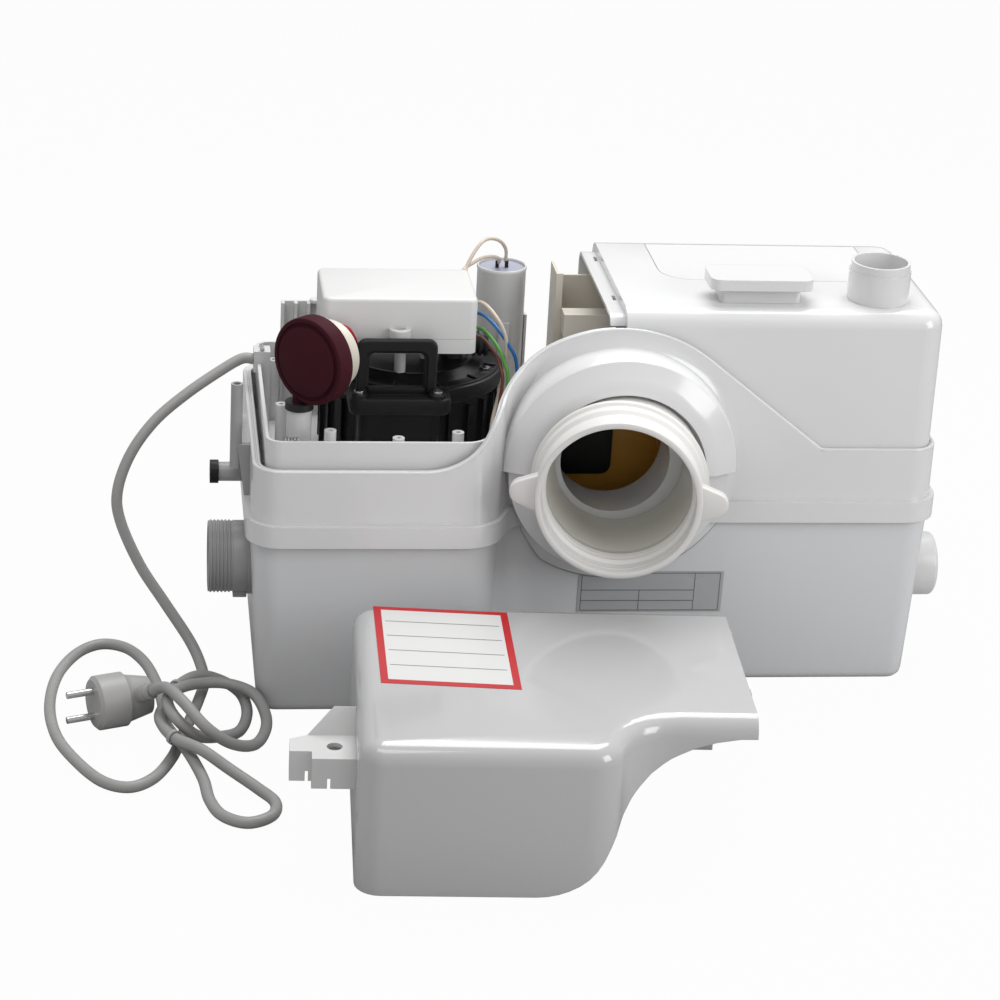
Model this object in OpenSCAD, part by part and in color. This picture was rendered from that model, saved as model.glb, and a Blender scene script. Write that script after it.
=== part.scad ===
// Sewage lifting unit, with its pump chamber open and that chamber's cover set down in front.
// X runs to the right, Y to the back and Z up, from the middle of the tank's foot.

/* [Shell] */
// Width of the unit over its skirt
unit_w = 500; // [480:5:540]
// Depth of the unit over its skirt, at the deep left section
unit_d = 230; // [224:2:250]
// How far the right section's front stands back
step_d = 47; // [42:1:52]
// Height of the tank up to the skirt
tank_h = 130; // [124:1:136]
// Height of the skirt
skirt_h = 16; // [13:1:19]
// Height of the band above the skirt
band_h = 38; // [34:1:42]
// Height of the covers above the band
cover_h = 102; // [99:1:108]
// Set-back of each shell from the one below it
ledge = 3.8; // [3:0.1:4.2]
// Wall of the tank and the casing
wall = 3; // [2.6:0.1:3.4]
// Wall of the two covers
cover_wall = 2.5; // [2:0.1:2.8]
// Radius of the upright corners
corner_r = 24; // [22:1:28]
// Turn of the front wall where it steps back, in degrees
bend_a = 75; // [65:1:80]
// How far the tank's foot stands in from its rim
tank_draft = 6; // [3:0.5:7]
// Radius of the tank's foot edge
foot_r = 6; // [3:0.5:7]
// Rounding of the covers' top edges
cover_r = 12; // [8:1:13]

/* [Inlet] */
// Place of the inlet from the unit's middle
inlet_x = 10; // [5:1:15]
// Height of the inlet's axis
inlet_z = 178; // [176:1:182]
// Bore of the rigid throat
throat_r = 39; // [36:0.5:41]
// Radius of the cuff's mouth, for a toilet outlet of 100 mm and more
cuff_r = 53; // [51:0.5:54]
// Length of the cuff in front of its boss
cuff_len = 55; // [50:1:60]
// Turn of the soft cuff to the left, in degrees
cuff_turn = 10; // [0:1:11]
// Outer radius of the hood over the cuff
hood_r = 84; // [82:1:86]
// Radius of the casing's arch over the inlet
arch_r = 102; // [100:1:104]

/* [Outlets] */
// Outer radius of the threaded outlet
stub_r = 26; // [24:0.5:27]
// Length of the threaded outlet outside the tank
stub_len = 30; // [26:1:34]
// Radius of the vent spigot on the right cover
vent_r = 22; // [20:0.5:24]
// Height of the vent spigot above the cover
vent_h = 28; // [24:1:34]
// Radius of the second inlet at the right side
side_r = 20; // [18:0.5:21]
// Radius of the thin drain pipe
drain_r = 6.8; // [5:0.2:7]

/* [Pump] */
// Place of the pump's axis
pump_x = -129; // [-131:1:-127]
// Place of the pump's axis, to the back
pump_y = 29; // [27:1:31]
// Radius of the pump's housing above the deck
pump_r = 65; // [62:0.5:66]
// Height of the pump cover's parting plane
pump_z = 206; // [203:1:209]
// Radius of the motor shaft
shaft_r = 6; // [5:0.5:7]
// Radius of the impeller
impeller_r = 40; // [34:1:42]
// Vanes of the impeller
vane_n = 6; // [4:1:8]

/* [Electrics] */
// Width of the electrics box
box_w = 109; // [104:1:112]
// Depth of the electrics box
box_d = 70; // [66:1:72]
// Height of the electrics box
box_h = 40; // [36:1:42]
// Radius of the capacitor
cap_r = 18; // [15:0.5:19]
// Height of the capacitor
cap_h = 86; // [78:1:88]
// Radius of the pressure switch
switch_r = 31; // [28:0.5:32]
// Travel of the pressure switch's diaphragm
switch_stroke = 1.5; // [1:0.1:2]
// Diameter of the mains cable
cable_d = 8; // [7:0.2:8.4]

/* [Hidden] */

// True curves
$fn = 64;
// Steps of an arc in an outline
arc_n = 6;
// Overrun of a cut past its face
over = 1;
// Gap between bodies that come apart
gap = 0.4;
// Gap between pieces that only lie near each other
near = 0.3;

// Levels
skirt_z = tank_h + skirt_h;
band_z = skirt_z + band_h;
top_z = band_z + cover_h;
half_w = unit_w / 2;
half_d = unit_d / 2;
left_y = -half_d;
right_y = left_y + step_d;
face_y = right_y + ledge;

// Start of the step in the front wall, from the unit's middle
bend_x = -100;
bend_r = step_d / (2 * (1 - cos(bend_a)));
bend_c = [bend_x, left_y + bend_r];
bend_c2 = bend_c + 2 * bend_r * [sin(bend_a), -cos(bend_a)];

// An arc's points, from angle a0 to a1
function arc(c, r, a0, a1, n = arc_n) =
    [for (i = [0 : n]) c + r * [cos(a0 + (a1 - a0) * i / n), sin(a0 + (a1 - a0) * i / n)]];

// The unit's outline seen from above, set in by s on every side
function outline(s) = concat(
    arc([half_w - corner_r, right_y + corner_r], corner_r - s, -90, 0),
    arc([half_w - corner_r, half_d - corner_r], corner_r - s, 0, 90),
    arc([corner_r - half_w, half_d - corner_r], corner_r - s, 90, 180),
    arc([corner_r - half_w, left_y + corner_r], corner_r - s, 180, 270),
    arc(bend_c, bend_r - s, -90, bend_a - 90),
    arc(bend_c2, bend_r + s, bend_a + 90, 90));

// A list of points lifted to one height
function at_z(points, z) = [for (p = points) [p[0], p[1], z]];

// A closed solid through rings of equal count, whose ends fan out from one of their points
module loft(rings, apex = 0) {
    m = len(rings[0]);
    k = len(rings);
    polyhedron(
        points = [for (ring = rings) each ring],
        faces = concat(
            [for (i = [1 : m - 2]) [apex, (apex + i) % m, (apex + i + 1) % m]],
            [for (j = [0 : k - 2], i = [0 : m - 1]) each [
                [j * m + i, (j + 1) * m + (i + 1) % m, j * m + (i + 1) % m],
                [j * m + i, (j + 1) * m + i, (j + 1) * m + (i + 1) % m]]],
            [for (i = [1 : m - 2]) (k - 1) * m * [1, 1, 1] + [apex, (apex + i + 1) % m, (apex + i) % m]]));
}
// The outline's point in the middle of its back left corner, from which all the others can be seen
back_left = 2 * (arc_n + 1) + arc_n / 2;

// A straight shell part: the outline from z0 to z1
module slab(s, z0, z1) {
    translate([0, 0, z0]) linear_extrude(z1 - z0) polygon(outline(s));
}

// The same as a wall of thickness t
module hoop(s, t, z0, z1) {
    difference() {
        slab(s, z0, z1);
        slab(s + t, z0 - over, z1 + over);
    }
}

// Everything left or right of a plane at x
module left_of(x) {
    translate([-unit_w, -unit_d, -over]) cube([unit_w + x, 2 * unit_d, 2 * top_z]);
}
module right_of(x) {
    translate([x, -unit_d, -over]) cube([unit_w, 2 * unit_d, 2 * top_z]);
}

// A cylinder along Y, from y towards the front
module along_y(x, z, y, r, len) {
    translate([x, y, z]) rotate([90, 0, 0]) cylinder(r = r, h = len);
}

// A plate with rounded corners, lying flat
module round_plate(w, d, h, r) {
    linear_extrude(h) round_rect(w, d, r);
}
module round_rect(w, d, r) {
    translate([r, 0]) square([w - 2 * r, d]);
    translate([0, r]) square([w, d - 2 * r]);
    for (x = [r, w - r], y = [r, d - r]) translate([x, y]) circle(r);
}

// A soft tube along points, with n sides
function unit3(v) = v / norm(v);
function tangent(p, i) = unit3(p[min(i + 1, len(p) - 1)] - p[max(i - 1, 0)]);
function side_of(t, last) = unit3(last - (last * t) * t);
function frames(p, i = 0, last = [0, 0, 1], out = []) =
    i == len(p) ? out
    : let (t = tangent(p, i), u = side_of(t, last)) frames(p, i + 1, u, concat(out, [[u, cross(t, u)]]));
module tube(points, r, n, start = [0, 0, 1]) {
    f = frames(points, 0, start);
    loft([for (i = [0 : len(points) - 1])
        [for (a = [0 : n - 1]) points[i] + r * (cos(360 * a / n) * f[i][0] + sin(360 * a / n) * f[i][1])]]);
}
// Turns a child that stands on Z so that it runs from a towards b
module from_to(a, b) {
    d = b - a;
    translate(a) rotate([0, acos(d[2] / norm(d)), atan2(d[1], d[0])]) children();
}
// A smooth curve through points, with n steps between each two
function spline(p, n) = concat([for (i = [0 : len(p) - 2], j = [0 : n - 1])
    let (t = j / n, a = p[max(i - 1, 0)], b = p[i], c = p[i + 1], d = p[min(i + 2, len(p) - 1)])
    (2 * b + (c - a) * t + (2 * a - 5 * b + 4 * c - d) * t * t + (3 * b - a - 3 * c + d) * t * t * t) / 2],
    [p[len(p) - 1]]);

// Tank
tank_in = ledge + near;
tank_rim_z = skirt_z - wall;
floor_t = 4;
stub_y = -40;
stub_z = 92;
side_y = -10;
side_z = 73;
function foot_ring(i) = let (a = 90 * i / 3)
    at_z(outline(tank_in + tank_draft + foot_r * (1 - sin(a))), foot_r * (1 - cos(a)));

module tank() color("whitesmoke") {
    difference() {
        loft([for (i = [0 : 3]) foot_ring(i), at_z(outline(tank_in), tank_h), at_z(outline(tank_in), tank_rim_z)],
            back_left);
        loft([at_z(outline(tank_in + tank_draft + wall), floor_t), at_z(outline(tank_in + wall), tank_h),
            at_z(outline(tank_in + wall), tank_rim_z + over)], back_left);
        along_y(inlet_x, inlet_z, right_y + 2 * tank_draft + wall + ledge, throat_outer_r + near, unit_d);
        translate([-half_w - over, stub_y, stub_z]) rotate([0, 90, 0])
            cylinder(r = stub_r + stub_collar + near, h = corner_r);
        translate([half_w + over, side_y, side_z]) rotate([0, -90, 0]) cylinder(r = side_r + near, h = corner_r);
    }
}

// Casing
rim_t = 3;
rim_w = 5.8;
groove_w = 2.9;
upstand_t = 2.5;
upstand_h = 20;
rim_in = ledge + rim_w;
upstand_in = rim_in + groove_w;
deck_lift = 4;
deck_z = tank_rim_z + deck_lift;
deck_t = 3;
well_end_x = -58;
right_well_x = 92;
// The arch over the inlet, and how it runs down to the band on both sides
arch_drop = 7;
arch_z = inlet_z - arch_drop;
arch_top_z = arch_z + arch_r;
fillet_r = 50;
slope_foot_x = 159;
fillet_z = band_z + fillet_r;
fillet_x = inlet_x - sqrt(pow(arch_r + fillet_r, 2) - pow(fillet_z - arch_z, 2));
fillet_a = atan2(fillet_z - arch_z, fillet_x - inlet_x);
slope_d = norm([slope_foot_x - inlet_x, band_z - arch_z]);
slope_a = atan2(band_z - arch_z, slope_foot_x - inlet_x) + acos(arch_r / slope_d);
// The rim's line from left to right, lowered by s
function rim_line(s) = concat(
    [[-unit_w, band_z - s]],
    arc([fillet_x, fillet_z], fillet_r + s, 270, 360 + fillet_a - 180, 8),
    arc([inlet_x, arch_z], arch_r - s, fillet_a, slope_a, 12),
    [[slope_foot_x - s * tan((90 - slope_a) / 2), band_z - s], [unit_w, band_z - s]]);
// The area under that line, as a solid from front to back
module under_rim(s, y0, y1) {
    translate([0, y1, 0]) rotate([90, 0, 0]) linear_extrude(y1 - y0)
        polygon(concat(rim_line(s), [[unit_w, 0], [-unit_w, 0]]));
}
// Depth of the part of the front that the arch rises in
arch_back_y = 0;
throat_t = 5;
throat_outer_r = throat_r + throat_t;
throat_back_y = -30;
// Round well in the boss, which the sleeve stands in
well_r = 52;
duct_t = 3;
duct_r = 60;
duct_back_y = 20;
boss_r = 92;
boss_d = 26;
boss_neck_r = 62;
boss_flare = 14;
hood_d = 26;
hood_t = 4;
hood_in_r = 60;
hood_drop = 8;

// The wall that steps back with the outline and rises in the arch
module band() {
    hoop(ledge, wall, tank_rim_z, band_z);
    intersection() {
        hoop(ledge, wall, tank_rim_z, arch_top_z + over);
        under_rim(0, left_y - over, arch_back_y);
    }
}
// The flat lip along the band's top edge, with the covers on it
module rim() {
    hoop(ledge, rim_w, band_z - rim_t, band_z);
    difference() {
        intersection() {
            hoop(ledge, rim_w, band_z - rim_t, arch_top_z + over);
            under_rim(0, left_y - over, arch_back_y);
        }
        under_rim(rim_t, left_y - 2 * over, arch_back_y + over);
    }
}
// The upright collar round the pump chamber and the filter chamber
module upstand() {
    intersection() {
        hoop(upstand_in, upstand_t, deck_z, band_z + upstand_h);
        left_of(well_end_x);
    }
    intersection() {
        slab(upstand_in, deck_z, band_z);
        translate([well_end_x - upstand_t, -unit_d, 0]) cube([upstand_t, 2 * unit_d, top_z]);
    }
    intersection() {
        hoop(upstand_in, upstand_t, deck_z, band_z - rim_t);
        right_of(right_well_x);
    }
    intersection() {
        slab(upstand_in, deck_z, band_z - rim_t);
        translate([right_well_x, -unit_d, 0]) cube([upstand_t, 2 * unit_d, top_z]);
    }
}
// The deck under the pump chamber and the filter chamber
module deck() {
    intersection() {
        slab(ledge + wall / 2, deck_z, deck_z + deck_t);
        union() {
            left_of(well_end_x);
            right_of(right_well_x);
        }
    }
    intersection() {
        slab(ledge + wall / 2, deck_z, deck_z + deck_t);
        translate([-half_w, duct_back_y, 0]) cube([unit_w, unit_d, top_z]);
    }
}
// The boss that carries the cuff, hollow, with the throat's front ring
module boss() {
    difference() {
        translate([inlet_x, face_y + wall, inlet_z]) rotate([90, 0, 0]) rotate_extrude()
            polygon(concat([[boss_r - wall, 0], [boss_r, 0], [boss_r, wall]],
                arc([boss_r, wall + boss_d / 2], boss_d / 2, 270, 180, 4),
                [[boss_r - boss_flare, boss_d], [boss_neck_r, boss_d + wall], [well_r, boss_d + wall],
                [well_r, boss_d], [boss_neck_r, boss_d], [boss_r - boss_flare - wall, boss_d - wall]],
                arc([boss_r - wall, wall + boss_d / 2], boss_d / 2, 180, 270, 4)));
        slab(tank_in - near, -over, tank_rim_z);
        slab(ledge + wall / 2, tank_rim_z - over, top_z);
    }
}
// The half hood over the cuff, with its sharp front edge
module hood() {
    difference() {
        translate([inlet_x, face_y, inlet_z]) rotate([90, 0, 0]) rotate_extrude(start = 0, angle = 180)
            polygon([[hood_in_r, 0], [hood_r, 0], [hood_r, hood_d - hood_t], [hood_r - hood_t / 2, hood_d],
                [boss_neck_r + hood_t, hood_d + hood_drop], [hood_in_r, hood_d + hood_drop]]);
        slab(ledge + wall / 2, tank_rim_z - over, top_z);
    }
}
// The throat behind its well, and the closed duct that leads down into the tank
module throat() {
    difference() {
        union() {
            along_y(inlet_x, inlet_z, throat_back_y, throat_outer_r, throat_back_y - right_y - wall / 2);
            along_y(inlet_x, inlet_z, right_y + wall, well_r + wall, right_y + wall - face_y + boss_d);
        }
        along_y(inlet_x, inlet_z, throat_back_y + over, throat_r, unit_d);
        along_y(inlet_x, inlet_z, right_y, well_r, unit_d);
    }
    difference() {
        intersection() {
            along_y(inlet_x, inlet_z, duct_back_y, duct_r, duct_back_y - face_y - wall / 2);
            translate([-half_w, left_y, deck_z]) cube([unit_w, unit_d, top_z]);
        }
        along_y(inlet_x, inlet_z, duct_back_y - duct_t, duct_r - duct_t, duct_back_y - duct_t - face_y - wall);
    }
}
// Posts that stand on the deck, as places and heights
post_r = 4.2;
post_bore_r = 1.6;
post_at = [[26 - half_w, left_y + 81, 59], [-192, left_y + 41, 55], [-145, left_y + 35, 52],
    [-103, left_y + 41, 54], [26 - half_w, half_d - 33, 50]];
pump_hole_r = 56;

module casing() color("white") {
    difference() {
        union() {
            difference() {
                slab(0, tank_h, skirt_z);
                slab(ledge, tank_h - over, tank_rim_z);
                slab(ledge + wall / 2, tank_rim_z - over, skirt_z + over);
            }
            band();
            rim();
            upstand();
            deck();
            boss();
            hood();
            throat();
            for (p = post_at) translate([p[0], p[1], deck_z + deck_t / 2])
                cylinder(r = post_r, h = p[2] - deck_t / 2);
        }
        along_y(inlet_x, inlet_z, throat_back_y, throat_r, unit_d);
        translate([pump_x, pump_y, deck_z - over]) cylinder(r = pump_hole_r, h = deck_t + 2 * over);
        for (p = post_at) translate([p[0], p[1], deck_z + deck_t + wall]) cylinder(r = post_bore_r, h = p[2]);
        translate([clamp_at[0] - over, clamp_at[1] - clamp_d / 2 - near, clamp_z - near])
            cube([clamp_w + 2 * over, clamp_d + 2 * near, upstand_h]);
        translate([-half_w - over, drain_y, drain_z]) rotate([0, 90, 0])
            cylinder(r = drain_r + near, h = corner_r);
    }
}

// Screw tower at the left side, which the loose cover is screwed to
tower_out = 6;
tower_x = -half_w - tower_out;
tower_y = -53;
tower_r = 4.2;
tower_bore_r = 2.6;
tower_rise = 44;
tower_drop = 18;
tower_top_z = band_z + tower_rise;
tower_foot_z = band_z - tower_drop;
web_t = 2.4;
web_w = 9;
module screw_tower() color("gainsboro") {
    side_x = -half_w + ledge;
    difference() {
        union() {
            translate([tower_x, tower_y, tower_foot_z]) cylinder(r = tower_r, h = tower_top_z - tower_foot_z);
            translate([tower_x, tower_y - web_t / 2, tower_foot_z])
                cube([side_x - tower_x, web_t, band_z - tower_foot_z]);
        }
        translate([tower_x, tower_y, tower_foot_z + wall]) cylinder(r = tower_bore_r, h = tower_top_z);
    }
    translate([side_x, tower_y - tower_r + web_t, skirt_z]) rotate([90, 0, 0]) linear_extrude(web_t)
        polygon([[0, 0], [-ledge, 0], [-web_w, band_h], [0, band_h]]);
}

// Covers
cover_in = 2 * ledge;
lip_t = 1.6;
lip_h = 4;
split_x = 12;
split_gap = 1.2;
round_n = 4;
// A cover's outside or inside: its outline, closed with a rounded top edge
module cover_body(s, r, z0, z1) {
    loft(concat([at_z(outline(s), z0)],
        [for (i = [0 : round_n]) let (a = 90 * i / round_n)
            at_z(outline(s + r * (1 - cos(a))), z1 - r * (1 - sin(a)))]), back_left);
}
// The hollow shell of both covers, cut to the rim's line, with the lip that enters the groove
module cover_shell() {
    difference() {
        cover_body(cover_in, cover_r, band_z, top_z);
        cover_body(cover_in + cover_wall, cover_r - cover_wall, band_z - over, top_z - cover_wall);
        under_rim(-near, left_y - over, arch_back_y + over);
    }
    difference() {
        union() {
            hoop(rim_in + near, lip_t, band_z - lip_h, band_z + lip_h);
            hoop(cover_in + cover_wall / 2, rim_in + near + lip_t - cover_in - cover_wall / 2, band_z, band_z + lip_h);
        }
        under_rim(-near, left_y - over, arch_back_y + over);
    }
}

module right_cover() color("white") {
    difference() {
        intersection() {
            cover_shell();
            right_of(split_x + split_gap);
        }
        translate([hatch_x, hatch_y, top_z - 2 * cover_wall]) hatch_shape(0, 3 * cover_wall);
        translate([vent_x, vent_y, top_z - 2 * cover_wall]) cylinder(r = vent_r - vent_t, h = 3 * cover_wall);
    }
    end_lip();
    hatch_shelf();
}
// The strip that reaches under the loose cover's end, with its slots and the latch at its front
strip_w = 9.5;
strip_drop = 6;
slot_w = 2.4;
slot_l = 10;
slot_y = [-13, 76];
latch_w = 4;
latch_h = 10;
module end_lip() {
    difference() {
        intersection() {
            cover_body(cover_in + strip_drop, cover_r - cover_wall, band_z, top_z - strip_drop);
            translate([split_x - strip_w, -unit_d, 0]) cube([strip_w + split_gap + wall, 2 * unit_d, 2 * top_z]);
        }
        cover_body(cover_in + strip_drop + cover_wall, cover_r - 2 * cover_wall, band_z - over,
            top_z - strip_drop - cover_wall);
        under_rim(-near, left_y - over, arch_back_y + over);
        for (y = slot_y) translate([split_x - slot_w, y - slot_l / 2, top_z - 2 * strip_drop])
            cube([slot_w, slot_l, 2 * strip_drop]);
    }
    intersection() {
        difference() {
            cover_body(cover_in + cover_wall / 2, cover_r - cover_wall / 2, band_z, top_z - cover_wall / 2);
            cover_body(cover_in + strip_drop + cover_wall, cover_r - 2 * cover_wall, band_z - over,
                top_z - strip_drop - cover_wall);
            under_rim(-near, left_y - over, arch_back_y + over);
        }
        translate([split_x + split_gap, -unit_d, 0]) cube([wall, 2 * unit_d, 2 * top_z]);
    }
}

// Filter hatch, flush with the cover's top, and the shelf that it lies on
hatch_x = 50;
hatch_y = 12;
hatch_w = 160;
hatch_d = half_d - cover_in - cover_r - hatch_y;
hatch_r = 24;
shelf_w = 4;
shelf_t = 2;
module hatch_shape(s, h) {
    linear_extrude(h) translate([s, s]) difference() {
        round_rect(hatch_w - 2 * s, hatch_d + hatch_r, hatch_r - s);
        translate([-hatch_r, hatch_d - 2 * s]) square([hatch_w + 2 * hatch_r, 2 * hatch_r]);
    }
}
module hatch_shelf() {
    translate([hatch_x, hatch_y, top_z - cover_wall - shelf_t]) difference() {
        hatch_shape(-shelf_w / 2, shelf_t);
        translate([0, 0, -over]) hatch_shape(shelf_w / 2, shelf_t + 2 * over);
    }
}
module filter_hatch() color("white") {
    translate([hatch_x, hatch_y, top_z - cover_wall]) hatch_shape(gap, cover_wall);
}

// Grip of the hatch: a plate on a low stem
grip_x = 74;
grip_w = 74;
grip_d = 36;
grip_t = 8;
grip_y = -46;
grip_top = 19;
grip_r = 8;
stem_w = 58;
stem_d = 22;
module hatch_handle() color("white") {
    translate([grip_x, grip_y, top_z + grip_top - grip_t]) round_plate(grip_w, grip_d, grip_t, grip_r);
    translate([grip_x + (grip_w - stem_w) / 2, grip_y + (grip_d - stem_d) / 2, top_z])
        difference() {
            round_plate(stem_w, stem_d, grip_top - grip_t, grip_r / 2);
            translate([cover_wall, cover_wall, 0])
                round_plate(stem_w - 2 * cover_wall, stem_d - 2 * cover_wall, grip_top - 2 * grip_t, grip_r / 4);
        }
}

// Charcoal pad in its frame under the hatch
pad_h = 18;
module charcoal_filter() color("dimgray") {
    pad_in = shelf_w + wall;
    translate([hatch_x + pad_in, hatch_y + pad_in, top_z - cover_wall - pad_h - near])
        round_plate(hatch_w - 2 * pad_in, hatch_d - 2 * pad_in, pad_h, hatch_r - pad_in);
}

// Vent spigot
vent_in = 51;
vent_x = half_w - vent_in;
vent_y = -25;
vent_t = 2;
vent_step = 1;
vent_lip = 6;
module vent_spigot() color("white") {
    difference() {
        union() {
            translate([vent_x, vent_y, top_z]) cylinder(r = vent_r, h = vent_h - vent_lip);
            translate([vent_x, vent_y, top_z]) cylinder(r = vent_r - vent_step, h = vent_h);
        }
        translate([vent_x, vent_y, top_z - over]) cylinder(r = vent_r - vent_t - vent_step, h = vent_h + 2 * over);
    }
}

// Loose cover, stood down in front of the unit on its own lower edge
loose_off = [58, -264];
loose_mid = [-117, -4];
loose_turn = -2.9;
module set_down() {
    translate([loose_off[0] + loose_mid[0], loose_off[1] + loose_mid[1], lip_h - band_z])
        rotate([0, 0, loose_turn]) translate([-loose_mid[0], -loose_mid[1], 0]) children();
}
tab_l = 8;
tab_w = 3;
module loose_cover() color("white") set_down() {
    intersection() {
        cover_shell();
        left_of(split_x);
    }
    for (y = slot_y) translate([split_x - wall, y - tab_l / 2, top_z - 2 * cover_wall])
        cube([wall + tab_w / 2, tab_l, cover_wall]);
}
// Side lug of the loose cover, which the tower's screw passes through: a plate with a steep back
lug_w = 42;
lug_d = 40;
lug_h = 21;
lug_front = 17;
lug_rise = 32;
lug_ridge = 17;
lug_slope = 8;
lug_step = 10;
lug_hole_r = 5;
lug_slit = 2;
module lug_body(s) {
    intersection() {
        rotate([90, 0, -90]) linear_extrude(lug_w) polygon([[s, -lug_h - s], [s, lug_ridge - 4 * s],
            [lug_slope - s / 2, -s], [lug_d - s, -s], [lug_d - s, -lug_h - s]]);
        translate([0, 0, -2 * lug_h]) linear_extrude(3 * lug_h + lug_ridge) polygon([[-s, -s], [-lug_w / 3, -s],
            [-lug_w + s, -lug_d / 3 - s / 2], [-lug_w + s, -lug_d + lug_step + s],
            [-2 * lug_w / 3 + s, -lug_d + lug_step + s], [-2 * lug_w / 3 + s, -lug_d + s], [-s, -lug_d + s]]);
    }
}
module cover_lug() color("white") set_down() {
    wall_x = -half_w + cover_in;
    translate([wall_x, tower_y - lug_front + lug_d, tower_top_z + lug_rise]) difference() {
        lug_body(0);
        lug_body(wall);
        translate([tower_x - wall_x, lug_front - lug_d, -lug_h]) cylinder(r = lug_hole_r, h = 2 * lug_h);
        for (i = [1, 2]) translate([-i * lug_w / 3 - 2 * lug_slit, -lug_d - over, -lug_h - over])
            cube([lug_slit, lug_d / 2, lug_h / 3 + over]);
    }
}

// Filter channel: the upright panels that lead the air from the inlet chamber to the filter
channel_x = -23;
channel_y = 40;
channel_w = 44;
channel_h = 130;
panel_t = 2;
post_w = 5;
channel_d = 30;
module filter_channel() color("antiquewhite") {
    translate([channel_x, channel_y, deck_z + deck_t]) {
        cube([post_w, panel_t, channel_h]);
        cube([panel_t, channel_d, channel_h]);
        translate([0, channel_d - panel_t, 0]) cube([channel_w, panel_t, channel_h - 2 * post_w]);
        translate([channel_w - panel_t, 0, 0]) cube([panel_t, channel_d, channel_h - 2 * post_w]);
    }
}
// Small box in front of the channel, open to the left
cbox_x = -18;
cbox_y = 24;
cbox_w = 34;
cbox_d = 15.7;
cbox_h = 104;
module channel_box() color("antiquewhite") {
    translate([cbox_x, cbox_y, deck_z + deck_t]) difference() {
        cube([cbox_w, cbox_d, cbox_h]);
        translate([panel_t, panel_t, -over]) cube([cbox_w - 2 * panel_t, cbox_d - 2 * panel_t, cbox_h - post_w + over]);
        translate([-over, panel_t, cbox_h / 2]) cube([2 * panel_t, cbox_d - 2 * panel_t, cbox_h / 3]);
    }
}

// Ribbed bracket at the back of the pump chamber, with its screw dome
bracket_in = 31;
bracket_x = bracket_in - half_w;
bracket_w = 31;
bracket_back = 25;
bracket_y = half_d - bracket_back;
bracket_h = 54;
bracket_t = 2.5;
bracket_d = 8;
dome_r = 5;
module back_bracket() color("whitesmoke") {
    h = band_z + bracket_h - deck_z - deck_t;
    translate([bracket_x, bracket_y, deck_z + deck_t]) {
        translate([0, bracket_d - bracket_t, 0]) cube([bracket_w, bracket_t, h]);
        for (i = [0 : 3]) translate([i * (bracket_w - bracket_t) / 3, 0, 0]) cube([bracket_t, bracket_d, h]);
    }
    translate([bracket_x + bracket_w - dome_r, bracket_y + bracket_d / 2, band_z + bracket_h])
        cylinder(r = dome_r, h = bracket_t);
}

// Rubber cuff for the toilet's outlet, turned a little to the left, with its two lugs
boss_front_y = face_y - boss_d;
cuff_neck_r = 57.5;
cuff_mid_r = 60;
cuff_ring_r = 62;
cuff_root = 12;
cuff_step_share = [0.4, 0.5, 0.52, 0.66, 0.7];
lug_reach = 75;
cuff_lug_r = 11;
cuff_lug_t = 7;
cuff_lip_r = 50.6;
lip_d = 4;
mouth_d = 16;
module at_cuff(back_y) {
    difference() {
        translate([inlet_x, boss_front_y, inlet_z]) rotate([90, 0, -cuff_turn]) children();
        translate([-unit_w, back_y - near, 0]) cube([2 * unit_w, unit_d, 2 * top_z]);
    }
}
module inlet_cuff() color("whitesmoke") at_cuff(boss_front_y) {
    c = cuff_len * cuff_step_share;
    rotate_extrude() polygon([[cuff_r, -cuff_root], [cuff_neck_r, -cuff_root], [cuff_neck_r, c[0] - near],
        [cuff_ring_r, c[0]], [cuff_ring_r, c[1]], [cuff_mid_r, c[2]], [cuff_mid_r, c[3]], [cuff_neck_r, c[4]],
        [cuff_neck_r, cuff_len], [cuff_r, cuff_len]]);
    // Side lugs
    difference() {
        translate([0, 0, cuff_len - mouth_d + cuff_lug_t / 2]) for (k = [-1, 1]) hull() {
            translate([k * (lug_reach - cuff_lug_r), 0, 0]) cylinder(r = cuff_lug_r, h = cuff_lug_t, $fn = 32);
            translate([k * cuff_r, 0, 0]) cylinder(r = 1.5 * cuff_lug_r, h = cuff_lug_t, $fn = 32);
        }
        cylinder(r = cuff_neck_r - over, h = cuff_len + over);
    }
    // Inner sealing lips
    for (i = [0 : 1]) translate([0, 0, cuff_len - mouth_d - (1 + 2 * i) * lip_d]) rotate_extrude()
        polygon([[cuff_r + over, 0], [cuff_r + over, lip_d], [cuff_lip_r, lip_d / 2], [cuff_lip_r, lip_d / 4]]);
}
// Rigid tapered sleeve inside the cuff, down to the bottom of the boss's well
sleeve_t = 2.5;
sleeve_len = 22;
sleeve_root = 36;
sleeve_r = 46;
module inlet_sleeve() color("ivory") at_cuff(right_y) {
    rotate_extrude() polygon([[sleeve_r - sleeve_t, -sleeve_root], [sleeve_r, -sleeve_root],
        [cuff_r - near, sleeve_len], [cuff_r - near - sleeve_t, sleeve_len]]);
}

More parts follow.
